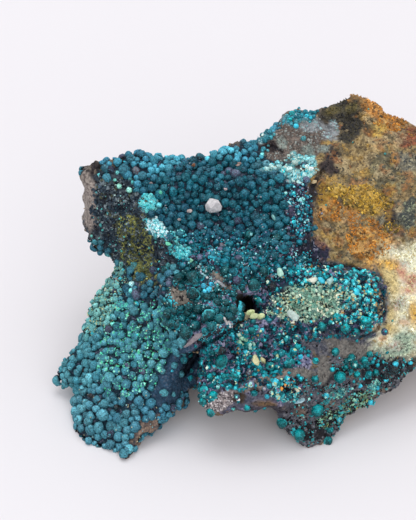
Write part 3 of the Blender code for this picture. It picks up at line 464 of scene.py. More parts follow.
HERO_KINDS = {
    "deep": ((2, 50, 54), (6, 64, 68), (80, 196, 206), 0.12),
    "teal": ((0, 104, 108), (4, 120, 124), (60, 190, 196), 0.16),
    "cyan": ((60, 190, 210), (46, 174, 200), (60, 160, 180), 0.5),
    "pale": ((160, 220, 224), (140, 206, 212), (110, 180, 190), 0.5),
    "mint": ((160, 222, 200), (140, 210, 190), (90, 170, 160), 0.6),
    "leg": ((77, 140, 151), (56, 116, 138), (16, 46, 62), 0.65),
    "sky": ((70, 184, 214), (60, 172, 206), (60, 150, 180), 0.5),
    "slate": ((50, 104, 120), (42, 92, 110), (16, 42, 56), 0.6),
    "dusk": ((112, 98, 106), (96, 84, 96), (60, 56, 70), 0.6),
    # Black beads, partly painted shade of holes
    "black": ((26, 24, 28), (34, 30, 32), (60, 66, 74), 0.4),
}

# How far apart beads stay, as a share of their radii, on a grid of cells that are wider than any two
SPACING = 0.74
CROWD_CELL = 2.9
# How far a bead's middle stands above the rock, as a share of its radius
LIFT = 0.22
BUD_SHARE = 0.22
BUDS_FROM = 0.55
# Beads are waxy below this roughness, and fine below this radius
WAXY_BELOW = 0.46
FINE_FROM = 0.62
# How much lighter the tops of beads grow: settled dust and painted top light
DUST_AND_TOP_LIGHT = 0.8
BEAD_SHAPES = 12
FULL_TURN = 6.283
# The size of the beads and the number of tries in each wave
WAVES = ((1.0, 70000), (0.8, 70000), (0.6, 60000))
FOOT_GRAINS = 7

# Broad lamps: place in metres, width and power
LAMPS = (((-0.1, 0.15, 0.75), 0.45, 1.7), ((0.1, -0.45, 0.35), 0.4, 0.5))

RNG = np.random.RandomState(31)
Seat = namedtuple("Seat", "place way radius state")


def srgb(colour):
    """A colour of 0 to 255 as seen on a screen, as linear light."""
    c = np.asarray(colour, float) / 255
    return np.where(c <= 0.04045, c / 12.92, ((c + 0.055) / 1.055) ** 2.4)


def tints(*colours):
    return np.concatenate([srgb(c) for c in colours])


def unit(v):
    """A vector, or each row of an array, at length 1."""
    return v / (np.linalg.norm(v) if v.ndim == 1 else np.linalg.norm(v, axis=1, keepdims=True))


def photo_place(points):
    """Where points in millimetres are in the photo, in pixels."""
    rel = points - EYE
    depth = rel @ AHEAD
    return FRAME_W / 2 + rel[:, 0] / depth / PIXEL, FRAME_H / 2 - rel @ OVER / depth / PIXEL


def photo_hit(rock, px, py):
    """The way from the camera through a pixel, and the place and normal of the rock there, if any."""
    way = unit(AHEAD + (px - FRAME_W / 2) * PIXEL * ALONG + (FRAME_H / 2 - py) * PIXEL * OVER)
    hit, place, normal, _ = rock.ray_cast(Vector(EYE * MM), Vector(way))
    return way, np.array(place) / MM if hit else None, np.array(normal)


def facing(points, normals):
    """The cosine between each normal and the way to the photo's camera."""
    way = EYE - points
    return np.einsum("ij,ij->i", normals, way) / np.linalg.norm(way, axis=1)


def in_view(points, within):
    """Which of the chosen places the photo's camera sees past the CAD rock, give or take a little."""
    seen = np.zeros(len(points))
    for i in np.nonzero(within)[0]:
        way = points[i] - EYE
        far = np.linalg.norm(way)
        reach = cad_faces.ray_cast(Vector(EYE * MM), Vector(way / far))[3]
        seen[i] = reach is None or reach / MM > far - VIEW_SLACK
    return seen


def oval_field(px, py, ovals, wander=0.0):
    """How many pixels each place is inside the nearest of some ovals, whose edges wander; negative
    outside."""
    best = np.full(len(px), -FAR)
    for x, y, a, b, turn in ovals:
        t = math.radians(turn)
        u = ((px - x) * math.cos(t) + (py - y) * math.sin(t)) / a
        v = ((py - y) * math.cos(t) - (px - x) * math.sin(t)) / b
        best = np.maximum(best, (1 - np.hypot(u, v)) * min(a, b) + wander * min(1.0, min(a, b) / 16))
    return best


def path_field(px, py, path):
    """How far each place is from a path of pixels."""
    best = np.full(len(px), FAR)
    for (x0, y0), (x1, y1) in zip(path, path[1:]):
        dx, dy = x1 - x0, y1 - y0
        t = np.clip(((px - x0) * dx + (py - y0) * dy) / (dx * dx + dy * dy), 0, 1)
        best = np.minimum(best, np.hypot(px - x0 - t * dx, py - y0 - t * dy))
    return best


def fractal(points, size, octaves=3, shift=0.0):
    """Fractal noise from about -1 to 1 with features of the given size."""
    offset = Vector((shift, shift * 1.7, -shift * 0.6))
    return np.array([noise.fractal(Vector(p) + offset, 0.9, 2.1, octaves) for p in points / size])


def lumps(points, size, shift=0.0):
    """Rounded grains: 1 at the middle of each grain and about 0 between them."""
    offset = Vector((shift, -shift, shift * 0.3))
    return np.array([1.0 - 1.6 * noise.voronoi(Vector(p) + offset)[0][0] for p in points / size])


def smooth_step(low, high, x):
    t = np.clip((x - low) / (high - low), 0, 1)
    return t * t * (3 - 2 * t)


def add_object(name, data):
    made = bpy.data.objects.new(name, data)
    bpy.context.scene.collection.objects.link(made)
    return made


def take_mesh(carrier):
    """The mesh that an object's modifiers make. The object goes."""
    graph = bpy.context.evaluated_depsgraph_get()
    mesh = bpy.data.meshes.new_from_object(carrier.evaluated_get(graph))
    bpy.data.objects.remove(carrier)
    return mesh


def read(items, field, width, kind=np.float32):
    """One field of a mesh's items, an array with a row for each."""
    values = np.empty(len(items) * width, kind)
    items.foreach_get(field, values)
    return values.reshape(-1, width)


def points_of(mesh):
    return read(mesh.vertices, "co", 3).astype(float) / MM


def normals_of(mesh):
    return read(mesh.vertices, "normal", 3).astype(float)


def triangles_of(mesh):
    mesh.calc_loop_triangles()
    return read(mesh.loop_triangles, "vertices", 3, np.int32)


def set_points(mesh, points):
    mesh.vertices.foreach_set("co", np.ascontiguousarray(points * MM, np.float32).ravel())
    mesh.update()


def paint(mesh, colours, numbers):
    """Stores colours and numbers on a mesh's points."""
    for name, values in colours.items():
        layer = mesh.attributes.new(name, "FLOAT_COLOR", "POINT")
        full = np.ones((len(values), 4), np.float32)
        full[:, :3] = values
        layer.data.foreach_set("color", full.ravel())
    for name, values in numbers.items():
        layer = mesh.attributes.new(name, "FLOAT", "POINT")
        layer.data.foreach_set("value", np.ascontiguousarray(values, np.float32))


def new_piece(name, parts, material, smooth=False):
    """One piece of many parts, each with points in millimetres, triangles, colours and perhaps roughness."""
    starts = np.cumsum([0] + [len(part[0]) for part in parts[:-1]])
    verts, tris, tint, *rough = (np.concatenate(column) for column in zip(*parts))
    tris += np.repeat(starts, [len(part[1]) for part in parts])[:, None]
    verts[:, 2] = np.maximum(verts[:, 2], 0.0)
    mesh = bpy.data.meshes.new(name)
    mesh.vertices.add(len(verts))
    mesh.vertices.foreach_set("co", np.ascontiguousarray(verts * MM, np.float32).ravel())
    mesh.loops.add(tris.size)
    mesh.loops.foreach_set("vertex_index", np.ascontiguousarray(tris, np.int32).ravel())
    mesh.polygons.add(len(tris))
    mesh.polygons.foreach_set("loop_start", np.arange(0, tris.size, 3, dtype=np.int32))
    mesh.update(calc_edges=True)
    paint(mesh, {"tint": tint}, {"rough": values for values in rough})
    if smooth:
        mesh.shade_smooth()
    else:
        mesh.shade_flat()
    mesh.materials.append(material)
    piece = add_object(name, mesh)
    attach(piece, BODY)


def even_copy(source):
    """The CAD rock's mesh as an even mesh of small faces."""
    copy = add_object("rock_start", source.data.copy())
    weld = bmesh.new()
    weld.from_mesh(copy.data)
    bmesh.ops.remove_doubles(weld, verts=weld.verts, dist=1e-7)
    weld.to_mesh(copy.data)
    weld.free()
    remesh = copy.modifiers.new("even", "REMESH")
    remesh.mode = "VOXEL"
    remesh.voxel_size = VOXEL * MM
    return take_mesh(copy)


def thin_back(mesh):
    """Fewer, larger faces where the photo's camera doesn't look."""
    count = len(triangles_of(mesh))
    carrier = add_object("rock_fine", mesh)
    away = smooth_step(0.1, -0.3, facing(points_of(mesh), normals_of(mesh)))
    group = carrier.vertex_groups.new(name="away")
    for level in range(THIN_LEVELS + 1):
        chosen = np.nonzero(np.round(away * THIN_LEVELS) == level)[0]
        group.add(chosen.tolist(), 0.08 + 0.092 * level, "REPLACE")
    thin = carrier.modifiers.new("thin", "DECIMATE")
    thin.ratio = MOST_TRIANGLES / count
    thin.vertex_group = "away"
    thin.vertex_group_factor = 1.0
    made = take_mesh(carrier)
    made.vertices[0].co = made.vertices[0].co
    return made


def relax(values, edges, rounds):
    """Averages values over a mesh's neighbouring points."""
    a, b = edges.T
    count = np.bincount(np.concatenate((a, b)), minlength=len(values)).astype(float)[:, None]
    for _ in range(rounds):
        total = np.stack(
            [np.bincount(a, values[b, k], len(values)) + np.bincount(b, values[a, k], len(values))
             for k in range(values.shape[1])], axis=1)
        values = values + (total / np.maximum(count, 1) - values) * 0.5
    return values


def blend_in(state, target, share):
    state += (target - state) * share[:, None]


def lay_zones(state, zones, px, py, wander, seen):
    for name, (ovals, main, second, speck, grain, relief) in zones.items():
        width = SOFT.get(name, HARD)
        share = smooth_step(-width, width, oval_field(px, py, ovals, wander)) * seen
        blend_in(state, np.concatenate((tints(main, second, speck), (grain, relief))), share)


def rock_zones(points, normals):
    """The three colours, grain and relief of the rock at each point."""
    px, py = photo_place(points)
    seen = smooth_step(-0.35, 0.0, facing(points, normals))
    wander = fractal(points, 2.2, 3) * 7 + fractal(points, 0.8, 2, 9.0) * 3
    wander += fractal(points, 7.0, 4, 15.0) * 22 * smooth_step(FRAME_W, FRAME_W + 20, px)
    stain = smooth_step(-0.1, 0.5, fractal(points, 9.0, 3, 4.0) + points[:, 0] / 60)
    main, second, speck, grain, relief = HIDDEN
    state = np.tile(np.concatenate((tints(main, second, speck), (grain, relief))), (len(points), 1))
    blend_in(state[:, :6], tints(*STAIN), stain)
    lay_zones(state, BED_AND_STAINS, px, py, wander, seen)
    rusty = smooth_step(-2.0, 2.0, oval_field(px, py, BED_AND_STAINS["gossan"][0], wander))
    rusty = rusty * seen + stain * (1 - seen) * 0.8
    for size, shift, low, high, main, second in CLOUDS:
        cloud = smooth_step(low, high, fractal(points, size, 4, shift)) * rusty * 0.55
        blend_in(state[:, :6], tints(main, second), cloud)
    seen *= in_view(points, seen > 0)
    lay_zones(state, ROCK, px, py, wander, seen)
    # Painted shade darkening the grooves
    for path, half, _ in GROOVES.values():
        deep = smooth_step(half, half * 0.3, path_field(px, py, path)) * seen
        blend_in(state[:, :GRAIN], tints(*GROOVE_SHADE_COLOURS), deep * 0.7)
    return state


def crust_zones(points, normals):
    """What beads grow at each point: number, radii, tip colours, foot colour of painted shade and rim,
    roughness and share of odd ones."""
    px, py = photo_place(points)
    front = facing(points, normals)
    seen = smooth_step(-0.6, -0.15, front + fractal(points, 3.0, 3, 5.0) * 0.3)
    wander = fractal(points, 2.5, 3, 3.0) * 6
    state = np.tile(np.concatenate(((0.0, 0.4, 0.9), tints(*BACK_BEADS), (0.5, 0.1))), (len(points), 1))
    for name, (ovals, number, low, high, tip_a, tip_b, foot, rough, odd) in CRUST.items():
        share = smooth_step(-2.0, 2.0, oval_field(px, py, ovals, wander))
        if name in FRONT_ONLY:
            share *= in_view(points, (share > 0) & (front > TURNED))
        target = np.concatenate(((math.log1p(number), low, high), tints(tip_a, tip_b, foot), (rough, odd)))
        blend_in(state, target, share * seen)
    for ovals, number in BARE.values():
        share = smooth_step(-HARD, HARD, oval_field(px, py, ovals, wander * 0.4)) * seen
        state[:, NUMBER] += (math.log1p(number) - state[:, NUMBER]) * share
    patches = smooth_step(0.2, 0.6, fractal(points, 6.0, 3, 8.0)) * smooth_step(25.0, 0.0, points[:, 0])
    state[:, NUMBER] += patches * (1 - seen)
    clumps = 0.15 + 1.7 * smooth_step(-0.2, 0.3, fractal(points, 2.6, 2, 13.0))
    state[:, NUMBER] = np.expm1(state[:, NUMBER]) * clumps
    return state


def scatter(points, normals, tris, count):
    """Random places on the rock, even by area, with their normals, and how many come on a square
    millimetre."""
    a, b, c = (points[tris[:, k]] for k in range(3))
    area = np.linalg.norm(np.cross(b - a, c - a), axis=1) / 2
    pick = RNG.choice(len(tris), count, p=area / area.sum())
    u, v = RNG.rand(2, count)
    flip = u + v > 1
    u[flip], v[flip] = 1 - u[flip], 1 - v[flip]
    w = 1 - u - v
    place = a[pick] * w[:, None] + b[pick] * u[:, None] + c[pick] * v[:, None]
    na, nb, nc = (normals[tris[pick, k]] for k in range(3))
    return place, unit(na * w[:, None] + nb * u[:, None] + nc * v[:, None]), count / area.sum()


class Crowd:
    """Keeps beads apart: a grid of those already placed."""

    def __init__(self):
        self.grid = {}

    def fits(self, place, radius):
        x, y, z = (int(math.floor(c / CROWD_CELL)) for c in place)
        for i, j, k in product((x - 1, x, x + 1), (y - 1, y, y + 1), (z - 1, z, z + 1)):
            for other, r in self.grid.get((i, j, k), ()):
                gap = (radius + r) * SPACING
                dx, dy, dz = place[0] - other[0], place[1] - other[1], place[2] - other[2]
                if dx * dx + dy * dy + dz * dz < gap * gap:
                    return False
        self.grid.setdefault((x, y, z), []).append((place, radius))
        return True


def hero_beads(rock):
    """Seats of the beads that have their own pixels."""
    seats = []
    for kind, rows in HEROES.items():
        tip_a, tip_b, foot, rough = HERO_KINDS[kind]
        state = np.concatenate(((0.0, 0.0, 0.0), tints(tip_a, tip_b, foot), (rough, 0.0)))
        for px, py, radius in rows:
            way, place, normal = photo_hit(rock, px, py)
            if place is not None:
                seats.append(Seat(place, unit(normal * 0.75 - way * 0.25), radius * MM_A_PIXEL, state))
    return seats


def grow_beads(points, normals, tris, heroes):
    """Seats of the beads: places, normals, radii and the state of the crust there."""
    crowd = Crowd()
    seats = list(heroes)
    for seat in heroes:
        crowd.fits(tuple(seat.place), seat.radius * 0.9)
    for scale, tries in WAVES:
        place, way, tries_on = scatter(points, normals, tris, tries)
        state = crust_zones(place, way)
        chance = RNG.rand(tries) * tries_on * len(WAVES)
        size = RNG.rand(tries) ** 1.1
        radius = (state[:, LOW] + (state[:, HIGH] - state[:, LOW]) * size) * scale
        for i in np.nonzero((chance < state[:, NUMBER]) & (radius > state[:, LOW] * 0.8))[0]:
            if crowd.fits(tuple(place[i]), radius[i]):
                seats.append(Seat(place[i], way[i], radius[i], state[i]))
    return seats


def lean_to(way, pull):
    """A random direction, pulled towards another."""
    return unit(unit(RNG.normal(size=3)) + way * pull)


def grow_buds(seats):
    """Seats of the small beads that sit on the sides of larger ones."""
    buds = []
    for place, way, radius, state in seats:
        for _ in range(2):
            if radius < BUDS_FROM or RNG.rand() > BUD_SHARE:
                continue
            lean = lean_to(way, 0.75)
            bud = place + way * radius * LIFT + lean * radius * 0.82
            buds.append(Seat(bud, lean, radius * (0.26 + 0.26 * RNG.rand()), state))
    return buds


def frame_on(way):
    """Two directions across a normal, at a random turn, and the normal."""
    spin = RNG.rand() * FULL_TURN
    side = unit(np.cross(way, (0.3, 0.5, 0.8) if abs(way[2]) < 0.9 else (1.0, 0.2, 0.0)))
    first = side * math.cos(spin) + np.cross(way, side) * math.sin(spin)
    return np.array((first, np.cross(way, first), way))


def arrays_of(shape):
    """A bmesh as points and triangles. The bmesh goes."""
    shape.verts.index_update()
    verts = np.array([v.co for v in shape.verts])
    tris = np.array([[v.index for v in f.verts] for f in shape.faces])
    shape.free()
    return verts, tris


def ball(level, cut, seed):
    """A dented unit ball without its foot, as points, how much each swells, and triangles."""
    shape = bmesh.new()
    bmesh.ops.create_icosphere(shape, subdivisions=level, radius=1.0)
    first, second = RNG.rand(2) * 6.28
    turn = Matrix.Rotation(first, 3, "Z") @ Matrix.Rotation(second, 3, "X")
    bmesh.ops.rotate(shape, matrix=turn, verts=shape.verts)
    bmesh.ops.delete(shape, geom=[v for v in shape.verts if v.co.z < cut], context="VERTS")
    verts, tris = arrays_of(shape)
    broad, fine = Vector((seed, 0, 0)), Vector((0, seed, 0))
    swell = np.array([noise.noise(Vector(v) * 1.5 + broad) + 0.7 * noise.noise(Vector(v) * 3.4 + fine)
                      for v in verts])
    return verts * (1 + 0.15 * swell)[:, None], swell, tris


def is_waxy(state):
    return state[ROUGH] < WAXY_BELOW


def bead_colours(state, drift, radius):
    """The colour of a bead's tip, and of its foot: painted shade on dusty beads, a painted bright rim on waxy
    ones.
    """
    odd = ODD if radius < FINE_FROM else ODD[:2]
    weights = np.array([w for _, w in odd], float)
    mix = np.clip(0.5 + drift * 0.8 + (RNG.rand() - 0.5) * 0.8, 0, 1)
    tip = state[TIP_A] * mix + state[TIP_B] * (1 - mix)
    # Waxy beads' painted rim varies from a dark outline to a bright one
    foot = state[FOOT_SHADE_AND_RIM] * (0.15 + 1.2 * RNG.rand() if is_waxy(state) else 1.0)
    if RNG.rand() < state[ODD_SHARE]:
        tip = srgb(odd[RNG.choice(len(odd), p=weights / weights.sum())][0])
        foot = foot * 0.5 + tip * 0.3
    return tip * (0.66 + 0.68 * RNG.rand()), foot


def bead_piece(name, seats, level, cut, material):
    """One piece of many beads."""
    shapes = [ball(level, cut, 3.1 * k) for k in range(BEAD_SHAPES)]
    parts = []
    drifts = fractal(np.array([seat.place for seat in seats]), 6.0, 3, 6.0)
    for (place, way, radius, state), drift in zip(seats, drifts):
        verts, swell, tris = shapes[RNG.randint(BEAD_SHAPES)]
        stretch = radius * (0.88 + 0.24 * RNG.rand(3))
        turn = frame_on(way)
        tip, foot = bead_colours(state, drift, radius)
        waxy = is_waxy(state)
        # The band round the foot takes the foot colour: painted shade on dusty beads, a painted bright rim on
        # waxy ones
        rim = 0.05 if waxy else -0.1
        height = smooth_step(rim, rim + 0.4, verts[:, 2] + 0.25 * swell)[:, None]
        up = (verts @ turn)[:, 2]
        # Waxy beads get a painted highlight: lighter at the tip and on the upward side, darker round it
        painted_highlight = 0.55 + 1.6 * smooth_step(0.45, 1.0, 0.45 * verts[:, 2] + 0.55 * up)[:, None] if waxy else 1.0
        tint = (tip * painted_highlight * height + foot * (1 - height)) * (1 + 0.25 * swell)[:, None]
        # Upward sides lighter: settled dust and painted top light, weaker on waxy beads
        dust_and_top_light = (smooth_step(0.3, 1.0, up) * RNG.rand())[:, None] * (0.3 if waxy else 1.0)
        parts.append((place + way * radius * LIFT + (verts * stretch) @ turn, tris,
                      np.clip(tint * (1 + DUST_AND_TOP_LIGHT * dust_and_top_light) + 0.03 * dust_and_top_light, 0, 1),
                      np.full(len(verts), state[ROUGH] + 0.1 * (RNG.rand() - 0.5))))
    new_piece(name, parts, material, smooth=True)


def grain_piece(name, rows, material):
    """One piece of many small angular grains."""
    corners = np.array([(1, 0, 0), (-1, 0, 0), (0, 1, 0), (0, -1, 0), (0, 0, 1), (0, 0, -1)], float)
    tris = np.array([(0, 2, 4), (2, 1, 4), (1, 3, 4), (3, 0, 4), (2, 0, 5), (1, 2, 5), (3, 1, 5), (0, 3, 5)])
    shapes = [corners * (0.7 + 0.6 * RNG.rand(6, 1)) for _ in range(GRAIN_SHAPES)]
    parts = []
    for place, way, size, colour in rows:
        verts = shapes[RNG.randint(GRAIN_SHAPES)]
        stretch = size * (0.45 + 0.9 * RNG.rand(3))
        parts.append((place + (verts * stretch) @ frame_on(way), tris, np.tile(colour, (len(verts), 1))))
    new_piece(name, parts, material)


def grain_size(low, high):
    """A random size, more often small."""
    return low + (high - low) * RNG.rand() ** 1.5


def grow_grains(points, normals, tris, seats):
    """Places, directions, sizes and colours of the grains in the photo's view."""
    place, way, _ = scatter(points, normals, tris, GRAIN_TRIES)
    px, py = photo_place(place)
    seen = in_view(place, facing(place, way) > TURNED) > 0
    wander = fractal(place, 2.0, 3, 7.0) * 4
    bead_place = np.array([seat.place for seat in seats])
    bx, by = photo_place(bead_place)
    bead_way = np.array([seat.way for seat in seats])
    bead_seen = in_view(bead_place, facing(bead_place, bead_way) > TURNED) > 0
    cloud = (fractal(place, 1.6, 2, 31.0) * 0.5 + fractal(place, 5.0, 2, 37.0) * 0.3) * 4
    clumps = 0.15 + smooth_step(-0.2, 0.4, fractal(place, 1.5, 3, 47.0))
    clear = oval_field(px, py, [oval for name in NO_GRAINS for oval in BARE[name][0]], wander)
    rows = []
    for ovals, count, low, high, on_beads, colours in GRAINS.values():
        inside = np.nonzero((oval_field(px, py, ovals, wander) > 0) & seen & (clear < 0))[0]
        carriers = np.nonzero((oval_field(bx, by, ovals) > 0) & bead_seen)[0]
        palette = [srgb(c) for c in colours]
        on_top = int(count * on_beads) if len(carriers) else 0
        weight = clumps[inside] / clumps[inside].sum()
        chosen = RNG.choice(inside, min(count - on_top, len(inside)), replace=False, p=weight)
        own = None if colours else rock_zones(place[chosen], way[chosen])
        for k, i in enumerate(chosen):
            size = grain_size(low, high)
            if colours:
                choice = int(cloud[i] * len(palette) / 6 + RNG.normal() * 0.7 + len(palette) * 7.5)
                tint = palette[choice % len(palette)]
            else:
                choice = RNG.choice(3, p=(0.5, 0.3, 0.2))
                tint = own[k, choice * 3:choice * 3 + 3] * 1.15
            rows.append((place[i] + way[i] * size * 0.3, way[i], size, tint * (0.75 + 0.5 * RNG.rand())))
        for i in (RNG.choice(carriers, on_top) if on_top else ()):
            middle, bead_up, radius, _ = seats[i]
            tilt = lean_to(bead_up, 0.9)
            size = grain_size(low, high)
            colour = palette[RNG.randint(len(palette))] * (0.75 + 0.5 * RNG.rand())
            rows.append((middle + bead_up * radius * LIFT + tilt * radius * 0.97, tilt, size, colour))
    for (place, way, radius, state), is_seen in zip(seats, bead_seen):
        if is_waxy(state) and is_seen:
            for _ in range(int(radius * FOOT_GRAINS)):
                out = frame_on(way)[0] + way * (0.1 + 0.35 * RNG.rand())
                size = 0.08 + 0.12 * RNG.rand()
                rows.append((place + out * radius, out, size, state[FOOT_SHADE_AND_RIM] * (0.1 + 1.3 * RNG.rand())))
    return rows


def hidden_grains(points, normals, tris, count):
    """Grains of broken stone on the sides that the photo doesn't show."""
    place, way, _ = scatter(points, normals, tris, count * 4)
    keep = np.nonzero((facing(place, way) < TURNED) & (place[:, 2] > 0.4))[0][:count]
    palette = [srgb(c) for c in BACK_GRAINS]
    return [(place[i], way[i], grain_size(0.14, 0.40),
             palette[RNG.randint(len(palette))] * (0.8 + 0.4 * RNG.rand())) for i in keep]


def chunk(size, corners):
    """A broken chip: the convex hull of points on a squashed ball."""
    shape = bmesh.new()
    for _ in range(corners):
        shape.verts.new(Vector(unit(RNG.normal(size=3)) * size / 2))
    made = bmesh.ops.convex_hull(shape, input=shape.verts)
    inner = [v for v in made["geom_interior"] if isinstance(v, bmesh.types.BMVert)]
    bmesh.ops.delete(shape, geom=inner, context="VERTS")
    bmesh.ops.triangulate(shape, faces=shape.faces)
    bmesh.ops.recalc_face_normals(shape, faces=shape.faces)
    return arrays_of(shape)


def lay_chips(rock, material):
    """Flakes and crystals at their pixels, each seated on the rock."""
    parts = []
    for (px, py), size, degrees, colour, several in CHIPS:
        way, place, normal = photo_hit(rock, px, py)
        if place is None:
            continue
        normal = unit(normal * 0.6 - way * 0.4)
        t = math.radians(degrees)
        along = math.cos(t) * ALONG - math.sin(t) * OVER
        along = unit(along - normal * (along @ normal))
        axes = np.array((along, np.cross(normal, along), normal))
        share, spread, rise = (1.0, 0.0, 0.4) if several == 1 else (0.56, 0.7, 0.15)
        for _ in range(several):
            verts, tris = chunk(np.array(size) * share, 14 + int(5 * min(size)))
            shift = (RNG.rand(3) - 0.5) * np.array(size) * spread
            shift[2] = abs(shift[2]) + size[2] * rise
            tint = np.clip(srgb(colour) * (0.85 + 0.3 * RNG.rand()), 0, 0.92)
            parts.append((place + (verts + shift) @ axes, tris, np.tile(tint, (len(verts), 1))))
    new_piece("quartz_chips", parts, material)


class Skin:
    """A new material with a Principled shader, and short ways to put procedural nodes before it."""

    def __init__(self, name):
        self.material = bpy.data.materials.new(name)
        self.material.use_nodes = True
        self.tree = self.material.node_tree
        self.tree.nodes.clear()
        out = self.node("OutputMaterial", {})
        self.shader = self.node("BsdfPrincipled", {})
        self.tree.links.new(self.shader.outputs["BSDF"], out.inputs["Surface"])
        self.where = self.node("TexCoord", {}).outputs["Object"]

    def node(self, kind, inputs, **settings):
        """A node with its settings and inputs, which are values or other nodes' outputs."""
        made = self.tree.nodes.new("ShaderNode" + kind)
        for key, value in settings.items():
            setattr(made, key, value)
        self.feed(made, inputs)
        return made

    def feed(self, node, inputs):
        for key, value in inputs.items():
            if isinstance(value, bpy.types.NodeSocket):
                self.tree.links.new(value, node.inputs[key])
            else:
                node.inputs[key].default_value = value

    def colour(self, name):
        return self.node("Attribute", {}, attribute_name=name).outputs["Color"]

    def number(self, name):
        return self.node("Attribute", {}, attribute_name=name).outputs["Fac"]

    def math(self, kind, a, b, clamp=False):
        return self.node("Math", {0: a, 1: b}, operation=kind, use_clamp=clamp).outputs[0]

    def sum(self, a, b, share):
        """One value and a share of another."""
        return self.math("ADD", a, self.math("MULTIPLY", b, share))

    def mix(self, share, a, b):
        return self.node("Mix", {"Factor": share, 6: a, 7: b}, data_type="RGBA").outputs[2]

    def scale(self, colour, by):
        return self.node("VectorMath", {0: colour, "Scale": by}, operation="SCALE").outputs[0]

    def noise(self, size_mm, detail=3.0, rough=0.55):
        inputs = {"Vector": self.where, "Scale": 1.0 / (size_mm * MM), "Detail": detail, "Roughness": rough}
        return self.node("TexNoise", inputs).outputs[0]

    def cells(self, size_mm):
        return self.node("TexVoronoi", {"Vector": self.where, "Scale": 1.0 / (size_mm * MM)}).outputs

    def ramp(self, value, low, high, to_low=0.0, to_high=1.0):
        inputs = {"Value": value, "From Min": low, "From Max": high, "To Min": to_low, "To Max": to_high}
        return self.node("MapRange", inputs).outputs[0]

    def pits(self, fine, cells, share, depth_mm, strength=0.9):
        """Relief of fine noise with a pit in each cell."""
        height = self.math("SUBTRACT", fine, self.math("MULTIPLY", cells["Distance"], share))
        self.relief(height, depth_mm, strength)

    def relief(self, height, depth_mm, strength):
        bump = self.node("Bump", {"Distance": depth_mm * MM, "Strength": strength, "Height": height})
        self.feed(self.shader, {"Normal": bump.outputs[0]})

    def finish(self, colour, rough, **others):
        inputs = {key.replace("_", " "): value for key, value in others.items()}
        self.feed(self.shader, {"Base Color": colour, "Roughness": rough, **inputs})
        return self.material


def rock_material():
    """Broken stone: grains of three colours, darker pores and a rough grainy relief."""
    skin = Skin("broken_rock")
    cells = skin.cells(0.42)
    fine = skin.noise(0.5)
    coarse = skin.noise(2.2, 4.0)
    pick = skin.node("SeparateColor", {0: cells["Color"]}).outputs
    drift = skin.sum(pick[0], coarse, 1.2)
    colour = skin.mix(skin.ramp(drift, 0.95, 1.15), skin.colour("main"), skin.colour("second"))
    rare = skin.sum(pick[1], coarse, 0.5)
    colour = skin.mix(skin.ramp(rare, 1.10, 1.16), colour, skin.colour("speck"))
    tone = skin.math("MULTIPLY", skin.ramp(fine, 0.3, 0.7, 0.70, 1.30),
                     skin.ramp(coarse, 0.3, 0.7, 0.75, 1.2))
    pores = skin.ramp(skin.sum(fine, coarse, 0.6), 0.56, 0.66, 0.45, 1.0)
    pores = skin.math("ADD", pores, skin.math("SUBTRACT", 1.0, skin.number("grain")), True)
    skin.pits(fine, cells, 0.8, 0.24)
    return skin.finish(skin.scale(skin.scale(colour, tone), pores), skin.ramp(pick[2], 0.0, 1.0, 0.5, 0.9),
                       Specular_IOR_Level=0.25)


def bead_material(name, veil, glints, specular, depth_mm, low, high):
    """Beads: waxy to dusty skin with a fine pitted grain."""
    skin = Skin(name)
    fine = skin.noise(0.30, 4.0, 0.65)
    tiny = skin.noise(0.22, 2.0, 0.5)
    colour = skin.scale(skin.colour("tint"), skin.ramp(fine, 0.32, 0.68, low, high))
    pale = skin.ramp(skin.noise(1.3, 4.0, 0.6), 0.50, 0.72, 0.0, veil)
    colour = skin.mix(pale, colour, (*srgb((96, 164, 180)), 1.0))
    colour = skin.mix(skin.ramp(tiny, 0.57, 0.64, 0.0, glints), colour, (*srgb((96, 200, 214)), 1.0))
    colour = skin.scale(colour, skin.ramp(tiny, 0.36, 0.44, 0.35, 1.0))
    rough = skin.math("ADD", skin.number("rough"), skin.ramp(fine, 0.3, 0.7, -0.1, 0.2), True)
    skin.pits(fine, skin.cells(0.34), 0.9, depth_mm)
    return skin.finish(colour, rough, Specular_IOR_Level=specular)


def grain_material():
    """Angular grains: dull stone with a slight glint."""
    skin = Skin("sharp_grains")
    fine = skin.noise(0.25)
    colour = skin.scale(skin.colour("tint"), skin.ramp(fine, 0.3, 0.7, 0.8, 1.2))
    return skin.finish(colour, skin.ramp(fine, 0.3, 0.7, 0.3, 0.7), Specular_IOR_Level=0.25)


def chip_material():
    """Clear to milky quartz chips, lit through a little."""
    skin = Skin("milky_quartz")
    cloud = skin.noise(0.6)
    colour = skin.scale(skin.colour("tint"), skin.ramp(cloud, 0.3, 0.7, 0.8, 1.15))
    skin.relief(cloud, 0.12, 0.6)
    return skin.finish(colour, skin.ramp(cloud, 0.3, 0.7, 0.15, 0.45), Subsurface_Weight=0.3,
                       Subsurface_Radius=(1.0, 1.0, 1.0), Subsurface_Scale=0.5 * MM)


def floor_material():
    skin = Skin("pale_floor")
    colour = skin.mix(skin.noise(60.0, 2.0), (0.755, 0.74, 0.762, 1.0), (0.77, 0.755, 0.777, 1.0))
    return skin.finish(colour, 0.9, Specular_IOR_Level=0.1)


